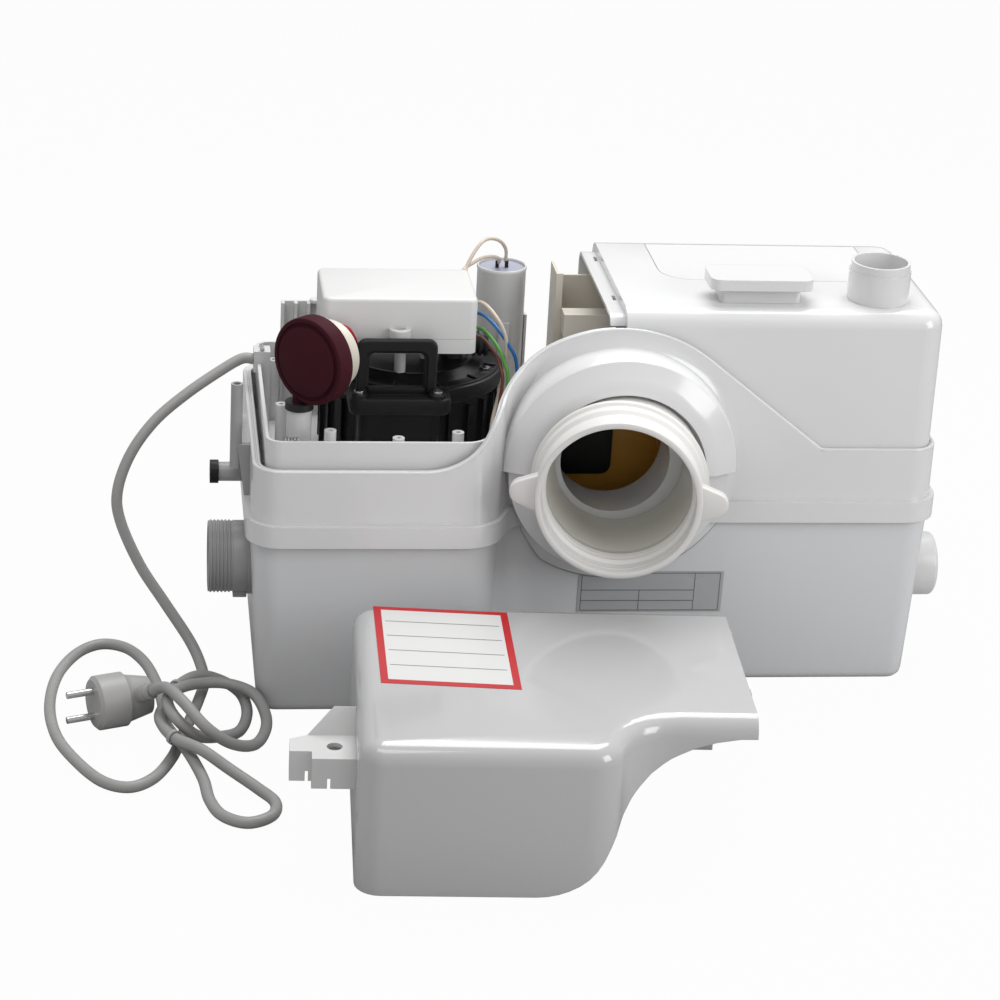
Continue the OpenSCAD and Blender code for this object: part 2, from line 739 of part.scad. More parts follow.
// Basket under the inlet, with its high back panel
basket_x = -34;
basket_w = 90;
basket_d = 46;
basket_out = 72;
basket_back_y = right_y + basket_out;
basket_top_z = 198;
basket_wall_h = 100;
basket_t = 2;
rib_w = 4;
hole_r = 3;
basket_hole_n = 6;
module strainer() color("darkgoldenrod") {
    translate([basket_x, basket_back_y - basket_t, floor_t]) cube([basket_w, basket_t, basket_top_z - floor_t]);
    translate([basket_x + basket_w - rib_w, basket_back_y - basket_t - rib_w, floor_t])
        cube([rib_w, rib_w, basket_top_z - floor_t]);
    translate([basket_x, basket_back_y - basket_d, floor_t]) difference() {
        cube([basket_w, basket_d - basket_t, basket_wall_h]);
        translate([basket_t, basket_t, basket_t]) cube([basket_w - 2 * basket_t, basket_d, basket_wall_h]);
        for (i = [1 : basket_hole_n], j = [1 : basket_hole_n])
            translate([i * basket_w / (basket_hole_n + 1), -over, j * basket_wall_h / (basket_hole_n + 1)])
                rotate([-90, 0, 0]) cylinder(r = hole_r, h = basket_t + 2 * over);
    }
}
// Black plate in front of the basket's back panel
baffle_w = 53;
baffle_z = 140;
baffle_t = 2.5;
baffle_r = 8;
module baffle() color("black") {
    translate([basket_x, basket_back_y - basket_t, baffle_z]) rotate([90, 0, 0]) linear_extrude(baffle_t) {
        translate([0, baffle_r]) square([baffle_w, basket_top_z - baffle_z - baffle_r]);
        square([baffle_w - baffle_r, basket_top_z - baffle_z]);
        translate([baffle_w - baffle_r, baffle_r]) circle(baffle_r);
    }
}

// Threaded outlet at the left side
stub_end_x = -half_w + tank_draft - stub_len;
stub_in = 10;
stub_wall = 3;
stub_collar = 1;
collar_l = 2.5;
module discharge_stub() color("lightgray") {
    translate([stub_end_x, stub_y, stub_z]) rotate([0, 90, 0]) difference() {
        union() {
            cylinder(r = stub_r, h = stub_len);
            translate([0, 0, stub_len - collar_l]) cylinder(r = stub_r + stub_collar, h = collar_l + stub_in);
        }
        translate([0, 0, -over]) cylinder(r = stub_r - stub_wall, h = stub_len + stub_in + 2 * over);
    }
}
// Seat of the non-return flap, with the ears and the pin that the flap hangs on
seat_t = 4;
seat_r = 17;
ear_t = 1.5;
ear_y = 6;
flap_r = 19;
flap_t = 3;
pin_r = 1;
fit = 0.05;
flap_up = 19.5;
seat_x = stub_end_x + stub_len + stub_in;
module valve_seat() color("gray") {
    translate([seat_x, stub_y, stub_z]) rotate([0, 90, 0]) difference() {
        cylinder(r = stub_r + stub_collar, h = seat_t);
        translate([0, 0, -over]) cylinder(r = seat_r, h = seat_t + 2 * over);
    }
    for (k = [-1, 1]) translate([seat_x - flap_t, stub_y + k * ear_y - ear_t / 2, stub_z + flap_up - 2 * pin_r])
        cube([flap_t, ear_t, 3 * pin_r]);
    translate([seat_x - flap_t / 2 - near, stub_y - ear_y, stub_z + flap_up]) rotate([-90, 0, 0])
        cylinder(r = pin_r, h = 2 * ear_y);
}
module valve_flap() color("dimgray") {
    difference() {
        union() {
            translate([seat_x - flap_t - near, stub_y, stub_z]) rotate([0, 90, 0]) cylinder(r = flap_r, h = flap_t);
            translate([seat_x - flap_t / 2 - near, stub_y - ear_y + ear_t, stub_z + flap_up]) rotate([-90, 0, 0])
                cylinder(r = flap_t / 2, h = 2 * (ear_y - ear_t));
        }
        translate([seat_x - flap_t / 2 - near, stub_y - ear_y, stub_z + flap_up]) rotate([-90, 0, 0])
            cylinder(r = pin_r + fit, h = 2 * ear_y);
        for (k = [-1, 1]) translate([seat_x - 2 * flap_t, stub_y + k * ear_y - ear_t, stub_z + flap_up - 4 * pin_r])
            cube([2 * flap_t, 2 * ear_t, 8 * pin_r]);
    }
}
// Riser from the pump's volute to the outlet: two bends with a straight between, in one tilted plane
riser_r = 13;
riser_y = -12;
riser_z = 31;
module discharge_pipe() color("lightgray") {
    rise = norm([stub_y - riser_y, stub_z - riser_z]);
    bend = (volute_x - seat_x - seat_t) / 2;
    translate([volute_x, riser_y, riser_z]) rotate([atan2(riser_y - stub_y, stub_z - riser_z), 0, 0]) {
        translate([0, 0, bend]) rotate([90, 0, 0]) rotate_extrude(start = 180, angle = 90)
            translate([bend, 0]) circle(riser_r);
        translate([-bend, 0, bend]) cylinder(r = riser_r, h = rise - 2 * bend);
        translate([-2 * bend, 0, rise - bend]) rotate([90, 0, 0]) rotate_extrude(start = 0, angle = 90)
            translate([bend, 0]) circle(riser_r);
    }
}

// Second inlet at the right side with its domed cap
side_len = 14;
side_t = 3;
cap_out = 3.5;
cap_len = 18;
side_x = half_w - 2 * tank_draft;
module side_stub() color("whitesmoke") {
    translate([side_x - side_t, side_y, side_z]) rotate([0, 90, 0]) difference() {
        cylinder(r = side_r, h = side_len + tank_draft);
        translate([0, 0, -over]) cylinder(r = side_r - side_t, h = side_len + tank_draft + 2 * over);
    }
}
module side_cap() color("white") {
    translate([half_w - tank_draft / 2, side_y, side_z]) rotate([0, 90, 0]) rotate_extrude()
        polygon(concat([[side_r + near, 0], [side_r + cap_out, 0], [side_r + cap_out, cap_len - cap_out]],
            arc([side_r, cap_len - cap_out], cap_out, 0, 90, 4),
            [[0, cap_len], [0, side_len - side_t], [side_r + near, side_len - side_t]]));
}
// Thin drain pipe at the left side with its black cap
drain_y = -40;
drain_z = 157;
drain_out = 22;
drain_end_x = -half_w - drain_out;
drain_cap_len = 4.5;
drain_t = 1.5;
module drain_pipe() color("lightgray") {
    translate([drain_end_x, drain_y, drain_z]) rotate([0, 90, 0]) difference() {
        cylinder(r = drain_r, h = -half_w + 2 * wall + ledge - drain_end_x);
        translate([0, 0, -over]) cylinder(r = drain_r - drain_t, h = half_w);
    }
}
module drain_cap() color("black") {
    translate([drain_end_x, drain_y, drain_z]) rotate([0, 90, 0]) difference() {
        translate([0, 0, -drain_t]) cylinder(r = drain_r + drain_t, h = drain_cap_len + drain_t);
        cylinder(r = drain_r + near, h = drain_cap_len + over);
    }
}

// Pump: everything below stands on its axis
module at_pump(z) {
    translate([pump_x, pump_y, z]) children();
}
front_x = -49;
front_w = 72;
front_y = -86;
front_d = 60;
front_r = 8;
flange_out = 3;
module pump_plan(s) {
    circle(pump_r + flange_out - s);
    translate([front_x + s, front_y + s]) round_rect(front_w - 2 * s, front_d, front_r);
}
motor_r = 50;
motor_z = 44;
plate_t = 30;
stator_r = 45;
bearing_r = 15;
bearing_t = 10;
seal_r = 12;
seal_z = 50;
lower_z = 62;
body_z = deck_z + deck_t;
flange_t = 5;
rib_n = 24;
module pump_body() color("black") {
    difference() {
        union() {
            at_pump(motor_z) cylinder(r = motor_r, h = body_z - motor_z + over);
            at_pump(body_z) cylinder(r = pump_r - flange_out, h = pump_z - body_z);
            at_pump(body_z + 2 * flange_t) linear_extrude(pump_z - body_z - 2 * flange_t) pump_plan(2 * flange_out + over);
            for (i = [0 : rib_n - 1]) at_pump(body_z + flange_t) rotate([0, 0, (i + 1 / 2) * 360 / rib_n])
                translate([0, -panel_t / 2, 0]) cube([pump_r, panel_t, pump_z - body_z - 2 * flange_t]);
        }
        at_pump(motor_z + plate_t) cylinder(r = stator_r + near, h = pump_z);
        at_pump(motor_z - over) cylinder(r = shaft_r + over, h = pump_z);
        at_pump(seal_z) cylinder(r = seal_r, h = pump_z);
        at_pump(lower_z) cylinder(r = bearing_r, h = pump_z);
    }
}
cover_t = 12;
dome_in_r = 30;
dome_out_r = 54;
dome_h = 6;
hub_r = 22;
upper_z = 187;
handle_x = -44.3;
handle_w = 57;
handle_h = 40;
handle_t = 6;
handle_y = -76;
window_w = 39;
window_h = 25;
window_up = 5;
// Screws as places from the axis, with the height of the boss above the cover
screw_at = [[-42, -79.5, 3], [13, -79.5, 3], [52.5, -25, 1], [-58, -28, 0], [-50, 40, 0], [0, 64, 0], [50, 40, 0]];
screw_boss_r = 6;
module dome() {
    at_pump(pump_z + cover_t) rotate_extrude()
        polygon([[0, 0], [dome_out_r, 0], [dome_out_r - flange_out, dome_h / 2], [dome_in_r, dome_h], [0, dome_h]]);
}
module pump_cover() color("black") {
    difference() {
        union() {
            at_pump(pump_z) linear_extrude(cover_t) pump_plan(0);
            dome();
            at_pump(upper_z) cylinder(r = hub_r, h = pump_z - upper_z + over);
            for (p = screw_at) at_pump(pump_z) translate([p[0], p[1], 0]) 
                cylinder(r = screw_boss_r, h = cover_t + p[2]);
            translate([pump_x + handle_x, pump_y + handle_y + near, pump_z + cover_t]) difference() {
                cube([handle_w, handle_t, handle_h]);
                translate([(handle_w - window_w) / 2, -over, window_up]) cube([window_w, handle_t + 2 * over, window_h]);
            }
        }
        at_pump(upper_z - over) cylinder(r = bearing_r, h = bearing_t + over);
        at_pump(upper_z) cylinder(r = shaft_r + over, h = bearing_t + over);
        at_pump(pump_z - over) difference() {
            cylinder(r = stator_r, h = cover_t / 2);
            translate([0, 0, -over]) cylinder(r = hub_r, h = cover_t);
        }
    }
}
screw_r = 3.6;
screw_t = 1.8;
module cover_screws() color("silver") {
    for (p = screw_at) at_pump(pump_z + cover_t) translate(p) cylinder(r = screw_r, h = screw_t);
}
// Ringed rubber boot of the motor's lead, on the pump's cover
boot_r = 8;
boot_rib_r = 9.5;
boot_at = [29, -9];
boot_len = 26;
boot_rib_n = 6;
boot_z = pump_z + cover_t + dome_h + boot_rib_r + near;
module cable_boot() color("black") {
    difference() {
        at_pump(leg_foot_z) translate([boot_at[0], boot_at[1], 0]) cylinder(r = boot_r, h = boot_z - leg_foot_z);
        dome();
    }
    at_pump(boot_z) translate([boot_at[0], boot_at[1], 0]) {
        sphere(boot_r);
        rotate([0, 90, 0]) difference() {
            union() {
                cylinder(r = boot_r, h = boot_len);
                for (i = [1 : boot_rib_n - 1]) translate([0, 0, (i + 1 / 2) * boot_len / boot_rib_n])
                    cylinder(r = boot_rib_r, h = boot_len / boot_rib_n / 2);
            }
            translate([0, 0, boot_r]) cylinder(r = boot_r / 2, h = boot_len);
        }
    }
}
// Motor
bore_r = 27;
stack_z = 90;
stack_h = 60;
slot_n = 12;
slot_r = 4;
module motor_stator() color("silver") at_pump(stack_z) difference() {
    cylinder(r = stator_r, h = stack_h);
    translate([0, 0, -over]) cylinder(r = bore_r, h = stack_h + 2 * over);
    for (i = [0 : slot_n - 1]) rotate([0, 0, i * 360 / slot_n]) translate([bore_r + slot_r / 2, 0, -over])
        cylinder(r = slot_r, h = stack_h + 2 * over);
}
coil_h = 14;
coil_in_r = 29;
coil_out_r = 42;
module stator_coils() color("chocolate") {
    for (z = [stack_z - coil_h, stack_z + stack_h]) at_pump(z) difference() {
        cylinder(r = coil_out_r, h = coil_h);
        translate([0, 0, -over]) cylinder(r = coil_in_r, h = coil_h + 2 * over);
    }
}
air_gap = 0.4;
rotor_over = 2;
module rotor_core() color("gray") at_pump(stack_z - rotor_over) difference() {
    cylinder(r = bore_r - air_gap, h = stack_h + 2 * rotor_over);
    translate([0, 0, -over]) cylinder(r = shaft_r + fit, h = stack_h + 2 * rotor_over + 2 * over);
}
shaft_z = 7;
module motor_shaft() color("silver") {
    at_pump(shaft_z) cylinder(r = shaft_r, h = upper_z + bearing_t - 2 * near - shaft_z);
}
module bearing() {
    difference() {
        cylinder(r = bearing_r - fit, h = bearing_t);
        translate([0, 0, -over]) cylinder(r = shaft_r + fit, h = bearing_t + 2 * over);
        for (z = [-over, bearing_t - over]) translate([0, 0, z]) difference() {
            cylinder(r = bearing_r - wall, h = 2 * over);
            cylinder(r = shaft_r + wall, h = 2 * over);
        }
    }
}
module upper_bearing() color("silver") at_pump(upper_z) bearing();
module lower_bearing() color("silver") at_pump(lower_z) bearing();
module shaft_seal() color("dimgray") at_pump(seal_z) difference() {
    cylinder(r = seal_r - fit, h = lower_z - seal_z);
    translate([0, 0, -over]) cylinder(r = shaft_r + near, h = pump_z);
}
// Impeller with curved vanes under its disc
impeller_z = 21;
vane_h = 10;
disc_t = 3;
vane_t = 2.5;
hub_t = 6;
module impeller() color("dimgray") at_pump(impeller_z) difference() {
    union() {
        translate([0, 0, vane_h]) cylinder(r = impeller_r, h = disc_t);
        cylinder(r = shaft_r + hub_t, h = vane_h + 2 * disc_t);
        for (i = [0 : vane_n - 1]) rotate([0, 0, i * 360 / vane_n]) linear_extrude(vane_h + disc_t / 2)
            polygon(concat(arc([impeller_r / 2, -impeller_r / 3], impeller_r / 2, 30, 140),
                arc([impeller_r / 2, -impeller_r / 3], impeller_r / 2 + vane_t, 140, 30)));
    }
    translate([0, 0, -over]) cylinder(r = shaft_r + fit, h = vane_h + 3 * disc_t + over);
}
// Cutter under the impeller
cutter_z = 8;
cutter_t = 5;
blade_l = 17;
blade_w = 9;
module cutter() color("silver") at_pump(cutter_z) difference() {
    union() {
        cylinder(r = shaft_r + wall, h = cutter_t);
        for (a = [0, 180]) rotate([0, 0, a]) linear_extrude(cutter_t / 2)
            polygon([[0, -blade_w / 2], [blade_l, -blade_w / 4], [blade_l, 0], [0, blade_w / 2]]);
    }
    translate([0, 0, -over]) cylinder(r = shaft_r + fit, h = cutter_t + 2 * over);
}
// Volute under the motor, with its suction eye and three feet
volute_r = 50;
volute_z = 14;
volute_t = 4;
volute_x = pump_x - volute_r;
eye_r = 22;
foot_w = 8;
module volute() color("black") {
    difference() {
        union() {
            at_pump(volute_z) cylinder(r = volute_r, h = motor_z - volute_z);
            translate([volute_x, riser_y, riser_z]) rotate([0, 90, 0]) cylinder(r = riser_r, h = volute_r);
            for (i = [0 : 2]) at_pump(floor_t) rotate([0, 0, 90 + 120 * i])
                translate([volute_r - foot_w, 0, 0]) cylinder(r = foot_w / 2, h = volute_z - floor_t + over);
        }
        at_pump(volute_z + volute_t) cylinder(r = volute_r - 2 * volute_t, h = motor_z);
        at_pump(volute_z - over) cylinder(r = eye_r, h = motor_z);
    }
}

// Electrics box over the pump
box_at = [-68, -61];
box_stand = 25.5;
box_z = pump_z + cover_t + box_stand;
box_t = 2;
box_r = 6;
base_h = 10.5;
leg_r = 4;
leg_at = [[-10.5, -41], [-44, 0], [10, -16]];
leg_foot_z = pump_z + cover_t + dome_h / 2;
tab_r = 8;
tab_t = 7;
tab_z = 12;
module at_box(z) {
    translate([pump_x + box_at[0], pump_y + box_at[1], z]) children();
}
module box_base() color("white") {
    difference() {
        at_box(box_z) round_plate(box_w, box_d, base_h, box_r);
        at_box(box_z + box_t) translate([box_t, box_t, 0])
            round_plate(box_w - 2 * box_t, box_d - 2 * box_t, base_h, box_r - box_t);
    }
    for (p = leg_at) difference() {
        at_pump(leg_foot_z) translate([p[0], p[1], 0]) cylinder(r = leg_r, h = box_z - leg_foot_z + over);
        at_pump(leg_foot_z - over) translate([p[0], p[1], 0]) cylinder(r = leg_r - box_t, h = tab_t + over);
        dome();
    }
}
module box_lid() color("white") {
    difference() {
        union() {
            at_box(box_z + base_h) round_plate(box_w, box_d, box_h - base_h, box_r);
            at_box(box_z + tab_z) translate([box_w / 2, 0, 0]) cylinder(r = tab_r, h = tab_t);
        }
        at_box(box_z + base_h - over) translate([box_t, box_t, 0])
            round_plate(box_w - 2 * box_t, box_d - 2 * box_t, box_h - base_h - box_t + over, box_r - box_t);
        at_box(box_z + base_h - over) translate([box_w / 2, -tab_r / 2, 0]) cylinder(r = tab_r / 3, h = box_h);
        at_box(box_z + tab_z - over) translate([box_w / 2 - tab_r / 3, -tab_r - over, 0])
            cube([2 * tab_r / 3, tab_r / 2 + over, tab_t + 2 * over]);
    }
}
block_w = 60;
block_d = 18;
block_h = 16;
way_n = 6;
way_r = 3;
module terminal_block() color("beige") {
    at_box(box_z + box_t) translate([(box_w - block_w) / 2, (box_d - block_d) / 2, 0]) difference() {
        cube([block_w, block_d, block_h]);
        for (i = [0 : way_n - 1]) translate([(i + 1 / 2) * block_w / way_n, block_d / 2, block_h / 2])
            cylinder(r = way_r, h = block_h);
    }
}

// Capacitor in its clip
cap_at = [71, 51];
cap_z = band_z + gap + wall + near;
cap_rim = 1;
cap_sink = 2;
module at_cap(z) {
    at_pump(z) translate([cap_at[0], cap_at[1], 0]) children();
}
module capacitor_can() color("white") at_cap(cap_z) difference() {
    cylinder(r = cap_r, h = cap_h);
    translate([0, 0, cap_h - 2 * cap_sink]) cylinder(r = cap_r - cap_rim, h = 3 * cap_sink);
}
module capacitor_top() color("lightsteelblue") at_cap(cap_z + cap_h - 2 * cap_sink)
    cylinder(r = cap_r - cap_rim - near, h = cap_sink);
cap_tab_w = 2;
cap_tab_l = 5;
module capacitor_tabs() color("black") {
    for (x = [-cap_tab_l, cap_tab_w]) at_cap(cap_z + cap_h - cap_sink) translate([x, -cap_tab_w, 0])
        cube([cap_tab_l / 2, cap_tab_w, cap_tab_l]);
}
clip_t = 2;
clip_h = 48;
clip_w = 8;
clip_a = [-86, 10, 150];
clip_post_r = 4;
clip_post_x = -10;
module capacitor_clip() color("whitesmoke") {
    at_cap(cap_z - wall) cylinder(r = cap_r + clip_t / 2 + near, h = wall);
    for (a = clip_a) at_cap(cap_z - over) rotate([0, 0, a]) translate([cap_r + near, -clip_w / 2, 0])
        cube([clip_t, clip_w, clip_h]);
    at_cap(body_z) translate([clip_post_x, 0, 0]) cylinder(r = clip_post_r, h = cap_z - wall - body_z);
}

// Pressure switch on its tube
switch_at = [-210, -65];
switch_z = 248;
switch_dir = 225;
switch_step = 2;
switch_cap_t = 14;
ring_t = 3;
ring_in = 1.5;
switch_body_r = 24;
switch_body_t = 12;
module at_switch(back) {
    translate([switch_at[0], switch_at[1], switch_z]) rotate([0, 0, switch_dir]) rotate([0, 90, 0])
        translate([0, 0, -back]) children();
}
module switch_cap() color("maroon") {
    difference() {
        union() {
            at_switch(switch_cap_t) cylinder(r = switch_r, h = switch_cap_t - switch_step);
            at_switch(switch_step) cylinder(r = switch_r - 3 * switch_step, h = switch_step);
            translate([tube_at[0], tube_at[1], neck_z + neck_h]) 
                cylinder(r = neck_r / 2, h = switch_z - switch_r + wall - neck_z - neck_h);
        }
        at_switch(switch_cap_t + over) cylinder(r = switch_r - wall, h = switch_cap_t - 2 * switch_step + over - wall);
    }
}
module switch_diaphragm() color("black") {
    at_switch(switch_cap_t) cylinder(r = switch_r - wall - near, h = switch_step);
}
module switch_body() color("antiquewhite") {
    difference() {
        union() {
            at_switch(switch_cap_t + ring_t) cylinder(r = switch_r - ring_in, h = ring_t);
            at_switch(switch_cap_t + ring_t + switch_body_t) cylinder(r = switch_body_r, h = switch_body_t);
        }
        at_switch(switch_cap_t + ring_t) cylinder(r = switch_body_r - wall, h = switch_cap_t);
    }
}
blade_t = 1;
switch_blade_w = 6;
switch_blade_l = 5;
module switch_blades() color("silver") {
    for (k = [-1, 0, 1]) at_switch(switch_cap_t + ring_t + switch_body_t + switch_blade_l)
        translate([k * 2 * switch_blade_w - switch_blade_w / 2, 0, 0]) cube([switch_blade_w, blade_t, switch_blade_l]);
}
tube_at = [-212.6, -52.5];
tube_r = 8.8;
tube_t = 2;
tube_top_z = 210;
neck_z = tube_top_z;
neck_h = 5;
neck_r = 10;
module pressure_tube() color("white") {
    translate([tube_at[0], tube_at[1], body_z]) difference() {
        cylinder(r = tube_r, h = tube_top_z - body_z);
        translate([0, 0, -over]) cylinder(r = tube_r - tube_t, h = tube_top_z);
    }
}
module switch_grommet() color("black") {
    translate([tube_at[0], tube_at[1], neck_z]) difference() {
        cylinder(r = neck_r, h = neck_h);
        translate([0, 0, -over]) cylinder(r = neck_r / 4, h = neck_h + 2 * over);
    }
}

// Clamp of the mains cable, on the collar at the left
clamp_at = [-240, 60];
clamp_up = 13;
clamp_z = band_z + clamp_up;
clamp_w = 12;
clamp_d = 14;
clamp_h = 16;
module cable_clamp() color("whitesmoke") {
    difference() {
        translate([clamp_at[0], clamp_at[1] - clamp_d / 2, clamp_z]) cube([clamp_w, clamp_d, clamp_h]);
        translate([clamp_at[0] - over, clamp_at[1], clamp_z + clamp_h / 2]) rotate([0, 90, 0])
            cylinder(r = cable_d / 2, h = clamp_w + 2 * over);
    }
    translate([-half_w + upstand_in + upstand_t + near, clamp_at[1] - clamp_d / 2, body_z])
        cube([clamp_at[0] + clamp_w + half_w - upstand_in - upstand_t - near, clamp_d, clamp_z - body_z]);
}
module clamp_screws() color("silver") {
    for (k = [-1, 1]) translate([clamp_at[0] + clamp_w / 2, clamp_at[1] + k * clamp_d / 3, clamp_z + clamp_h])
        cylinder(r = screw_r / 2, h = screw_t);
}

// Wires between the box, the switch, the capacitor and the motor
wire_r = 1.3;
wire_n = 6;
wire_steps = 3;
wires = [
    [[-184.5, -40.2, 260], [-181, -41, 265], [-177, -39, 261], [-173, -37, 251], [-170, -35, 233]],
    [[-86, -6, 272], [-79, -32, 262], [-65, -42, 236], [-60, -46, 206], [-66, -44, 170]],
    [[-86, 2, 262], [-74, -38, 246], [-66, -50, 222], [-65, -54, 196], [-67, -52, 170]],
    [[-86, -12, 256], [-82, -40, 240], [-75, -56, 218], [-71, -62, 192], [-73, -60, 170]],
    [[-86, -20, 250], [-87, -48, 232], [-83, -61, 212], [-79, -68, 190], [-81, -66, 170]],
    [[-86, 36, 280], [-84, 52, 296], [-74, 68, 304], [-62, 76, 296], [-57, 77, 276]],
    [[-86, 29, 276], [-80, 44, 283], [-74, 60, 286], [-68, 76, 283], [-64, 79, 276]]];
module lead_wires() color("royalblue") {
    for (w = wires) tube(spline(w, wire_steps), wire_r, wire_n);
}

// Mains cable, lying in front of the left side
cable_r = cable_d / 2;
cable_route = [[-240, 60, 205], [-249, 60, 205], [-266, 53, 197], [-290, 40, 184], [-312, 28, 168],
    [-329, 16, 147], [-338, 6, 123], [-336, 0, 102], [-322, -8, 71], [-304, -17, 45], [-286, -30, 21],
    [-278, -46, 9], [-276, -66, 4.4], [-280, -92, 4.4], [-286, -120, 4.4], [-293, -150, 4.4], [-300, -180, 4.4],
    [-312, -208, 4.4], [-328, -221, 4.4], [-346, -213, 4.4], [-363, -186, 4.4], [-378, -148, 4.4],
    [-384, -102, 4.4], [-380, -54, 4.4], [-367, -18, 4.4], [-350, -2, 4.4], [-332, -8, 4.4], [-319, -30, 4.4],
    [-311, -60, 4.4], [-306, -95, 4.4], [-304, -128, 5.2], [-300, -160, 13], [-290, -188, 14], [-280, -216, 8],
    [-276, -240, 4.6], [-268, -261, 4.4], [-252, -271, 4.4], [-236, -262, 4.4], [-233, -244, 4.4],
    [-244, -226, 5.4], [-263, -212, 13], [-281, -202, 22], [-299, -186, 23], [-308, -158, 22], [-305, -122, 14],
    [-296, -90, 13], [-280, -74, 14], [-262, -72, 8], [-250, -86, 4.6], [-247, -115, 4.6], [-253, -143, 5.4],
    [-266, -164, 12], [-283, -176, 19], [-298, -172, 31], [-303, -148, 32], [-296, -116, 24], [-281, -95, 18],
    [-261, -91, 16], [-242, -104, 14], [-234, -132, 7], [-242, -162, 5.4], [-259, -181, 15], [-277, -184, 29],
    [-293, -168, 41], [-304, -147, 41], [-313, -138, 34]];
cable_steps = 2;
cable_sides = 8;
// The cable's least gap to itself, measured on close points past a turn's own length
measure_steps = 6;
skip = 20;
measured = spline(cable_route, measure_steps);
least_gap = min([for (i = [0 : len(measured) - 1]) for (j = [i + skip : 1 : len(measured) - 1])
    norm(measured[i] - measured[j])]) - cable_d;
cable_length = let (p = measured, d = [for (i = [1 : len(p) - 1]) norm(p[i] - p[i - 1])]) d * [for (v = d) 1];
echo(least_gap = least_gap, cable_length = cable_length);
module mains_cable() color("silver") {
    tube(spline(cable_route, cable_steps), cable_r, cable_sides);
}
// Angled plug: a round body with its pins one above the other, and a ribbed strain relief
plug_at = [-331, -121, 20];
plug_turn = 200;
plug_r = 19;
plug_l = 24;
plug_back_r = 13;
plug_back_l = 16;
relief_r = 5.5;
relief_end_r = 4.6;
relief_n = 4;
plug_pin_r = 2.4;
plug_pin_l = 19;
plug_pin_gap = 19;
cable_end = cable_route[len(cable_route) - 1];
module at_plug() {
    translate(plug_at) rotate([0, 0, plug_turn]) children();
}
module plug_body() color("silver") {
    at_plug() rotate([0, 90, 0]) rotate_extrude() polygon([[0, -plug_back_l], [plug_back_r, -plug_back_l],
        [plug_r - plug_pin_r, 0], [plug_r, plug_pin_r], [plug_r, plug_l - plug_pin_r], [plug_r - plug_pin_r, plug_l],
        [0, plug_l]]);
    from_to(cable_end, plug_at) {
        translate([0, 0, 2 * near]) cylinder(r = relief_r, h = norm(plug_at - cable_end) - 2 * near);
        for (i = [1 : relief_n - 1]) translate([0, 0, i * relief_r]) cylinder(r = relief_r + over / 2, h = relief_r / 2);
    }
}
module plug_pins() color("gray") {
    for (k = [-1, 1]) at_plug() translate([plug_l, 0, k * plug_pin_gap / 2]) rotate([0, 90, 0])
        cylinder(r = plug_pin_r, h = plug_pin_l);
}
// Two narrow ties round the cable
tie_w = 3;
tie_t = 1;
tie_at = [42, 45];
module cable_ties() color("silver") {
    for (i = tie_at) let (p = cable_route[i], q = p + cable_route[i + 1] - cable_route[i - 1])
        from_to(p, q) difference() {
            translate([0, 0, -tie_w / 2]) cylinder(r = cable_r + near + tie_t, h = tie_w);
            translate([0, 0, -tie_w]) cylinder(r = cable_r + near, h = 2 * tie_w);
        }
}

tank();
casing();
screw_tower();
right_cover();
filter_hatch();
hatch_handle();
charcoal_filter();
vent_spigot();
loose_cover();
cover_lug();
filter_channel();
channel_box();
back_bracket();
inlet_cuff();
inlet_sleeve();
strainer();
baffle();
discharge_stub();
side_stub();
side_cap();
drain_pipe();
drain_cap();
cable_boot();
discharge_pipe();
valve_seat();
valve_flap();
pump_cover();
pump_body();
cover_screws();
motor_stator();
stator_coils();
rotor_core();
motor_shaft();
upper_bearing();
lower_bearing();
shaft_seal();
impeller();
cutter();
volute();
box_base();
box_lid();
terminal_block();
capacitor_can();
capacitor_top();
capacitor_tabs();
capacitor_clip();
switch_cap();
switch_body();
switch_diaphragm();
switch_blades();
switch_grommet();
pressure_tube();
cable_clamp();
clamp_screws();
lead_wires();
mains_cable();
plug_body();
plug_pins();
cable_ties();
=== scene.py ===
import math

import bmesh
import bpy
from mathutils import Matrix, Vector


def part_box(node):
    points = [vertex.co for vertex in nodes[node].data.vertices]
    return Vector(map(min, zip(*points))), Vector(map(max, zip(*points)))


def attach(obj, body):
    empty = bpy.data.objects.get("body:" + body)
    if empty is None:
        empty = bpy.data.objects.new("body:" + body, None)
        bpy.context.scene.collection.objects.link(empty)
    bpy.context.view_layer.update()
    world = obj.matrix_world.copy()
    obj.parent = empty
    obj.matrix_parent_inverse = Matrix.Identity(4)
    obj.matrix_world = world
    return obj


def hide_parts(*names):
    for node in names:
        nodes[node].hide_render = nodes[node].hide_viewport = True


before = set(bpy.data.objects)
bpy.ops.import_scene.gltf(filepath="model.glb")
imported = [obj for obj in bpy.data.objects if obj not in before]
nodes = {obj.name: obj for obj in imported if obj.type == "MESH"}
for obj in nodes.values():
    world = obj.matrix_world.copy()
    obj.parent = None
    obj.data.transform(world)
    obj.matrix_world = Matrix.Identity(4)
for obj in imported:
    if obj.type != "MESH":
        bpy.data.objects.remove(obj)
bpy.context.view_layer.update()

# Camera
# A long lens stands two metres in front of the unit and a little to its left, and looks down on it.
# Its axis meets the picture above the middle, so a small shift puts the unit where it belongs.
camera_place = Vector((-0.329409, -1.930054, 0.928588))
camera_yaw = math.radians(7.83271396)
camera_pitch = math.radians(21.33095359)
camera_roll = math.radians(3.16789947)
sensor_width = 36
focal_ratio = 2.88586
camera_look = Vector((
    math.sin(camera_yaw) * math.cos(camera_pitch),
    math.cos(camera_yaw) * math.cos(camera_pitch),
    -math.sin(camera_pitch),
))
camera_level = Vector((math.cos(camera_yaw), -math.sin(camera_yaw), 0))
camera_above = camera_level.cross(camera_look)
camera_right = camera_level * math.cos(camera_roll) + camera_above * math.sin(camera_roll)
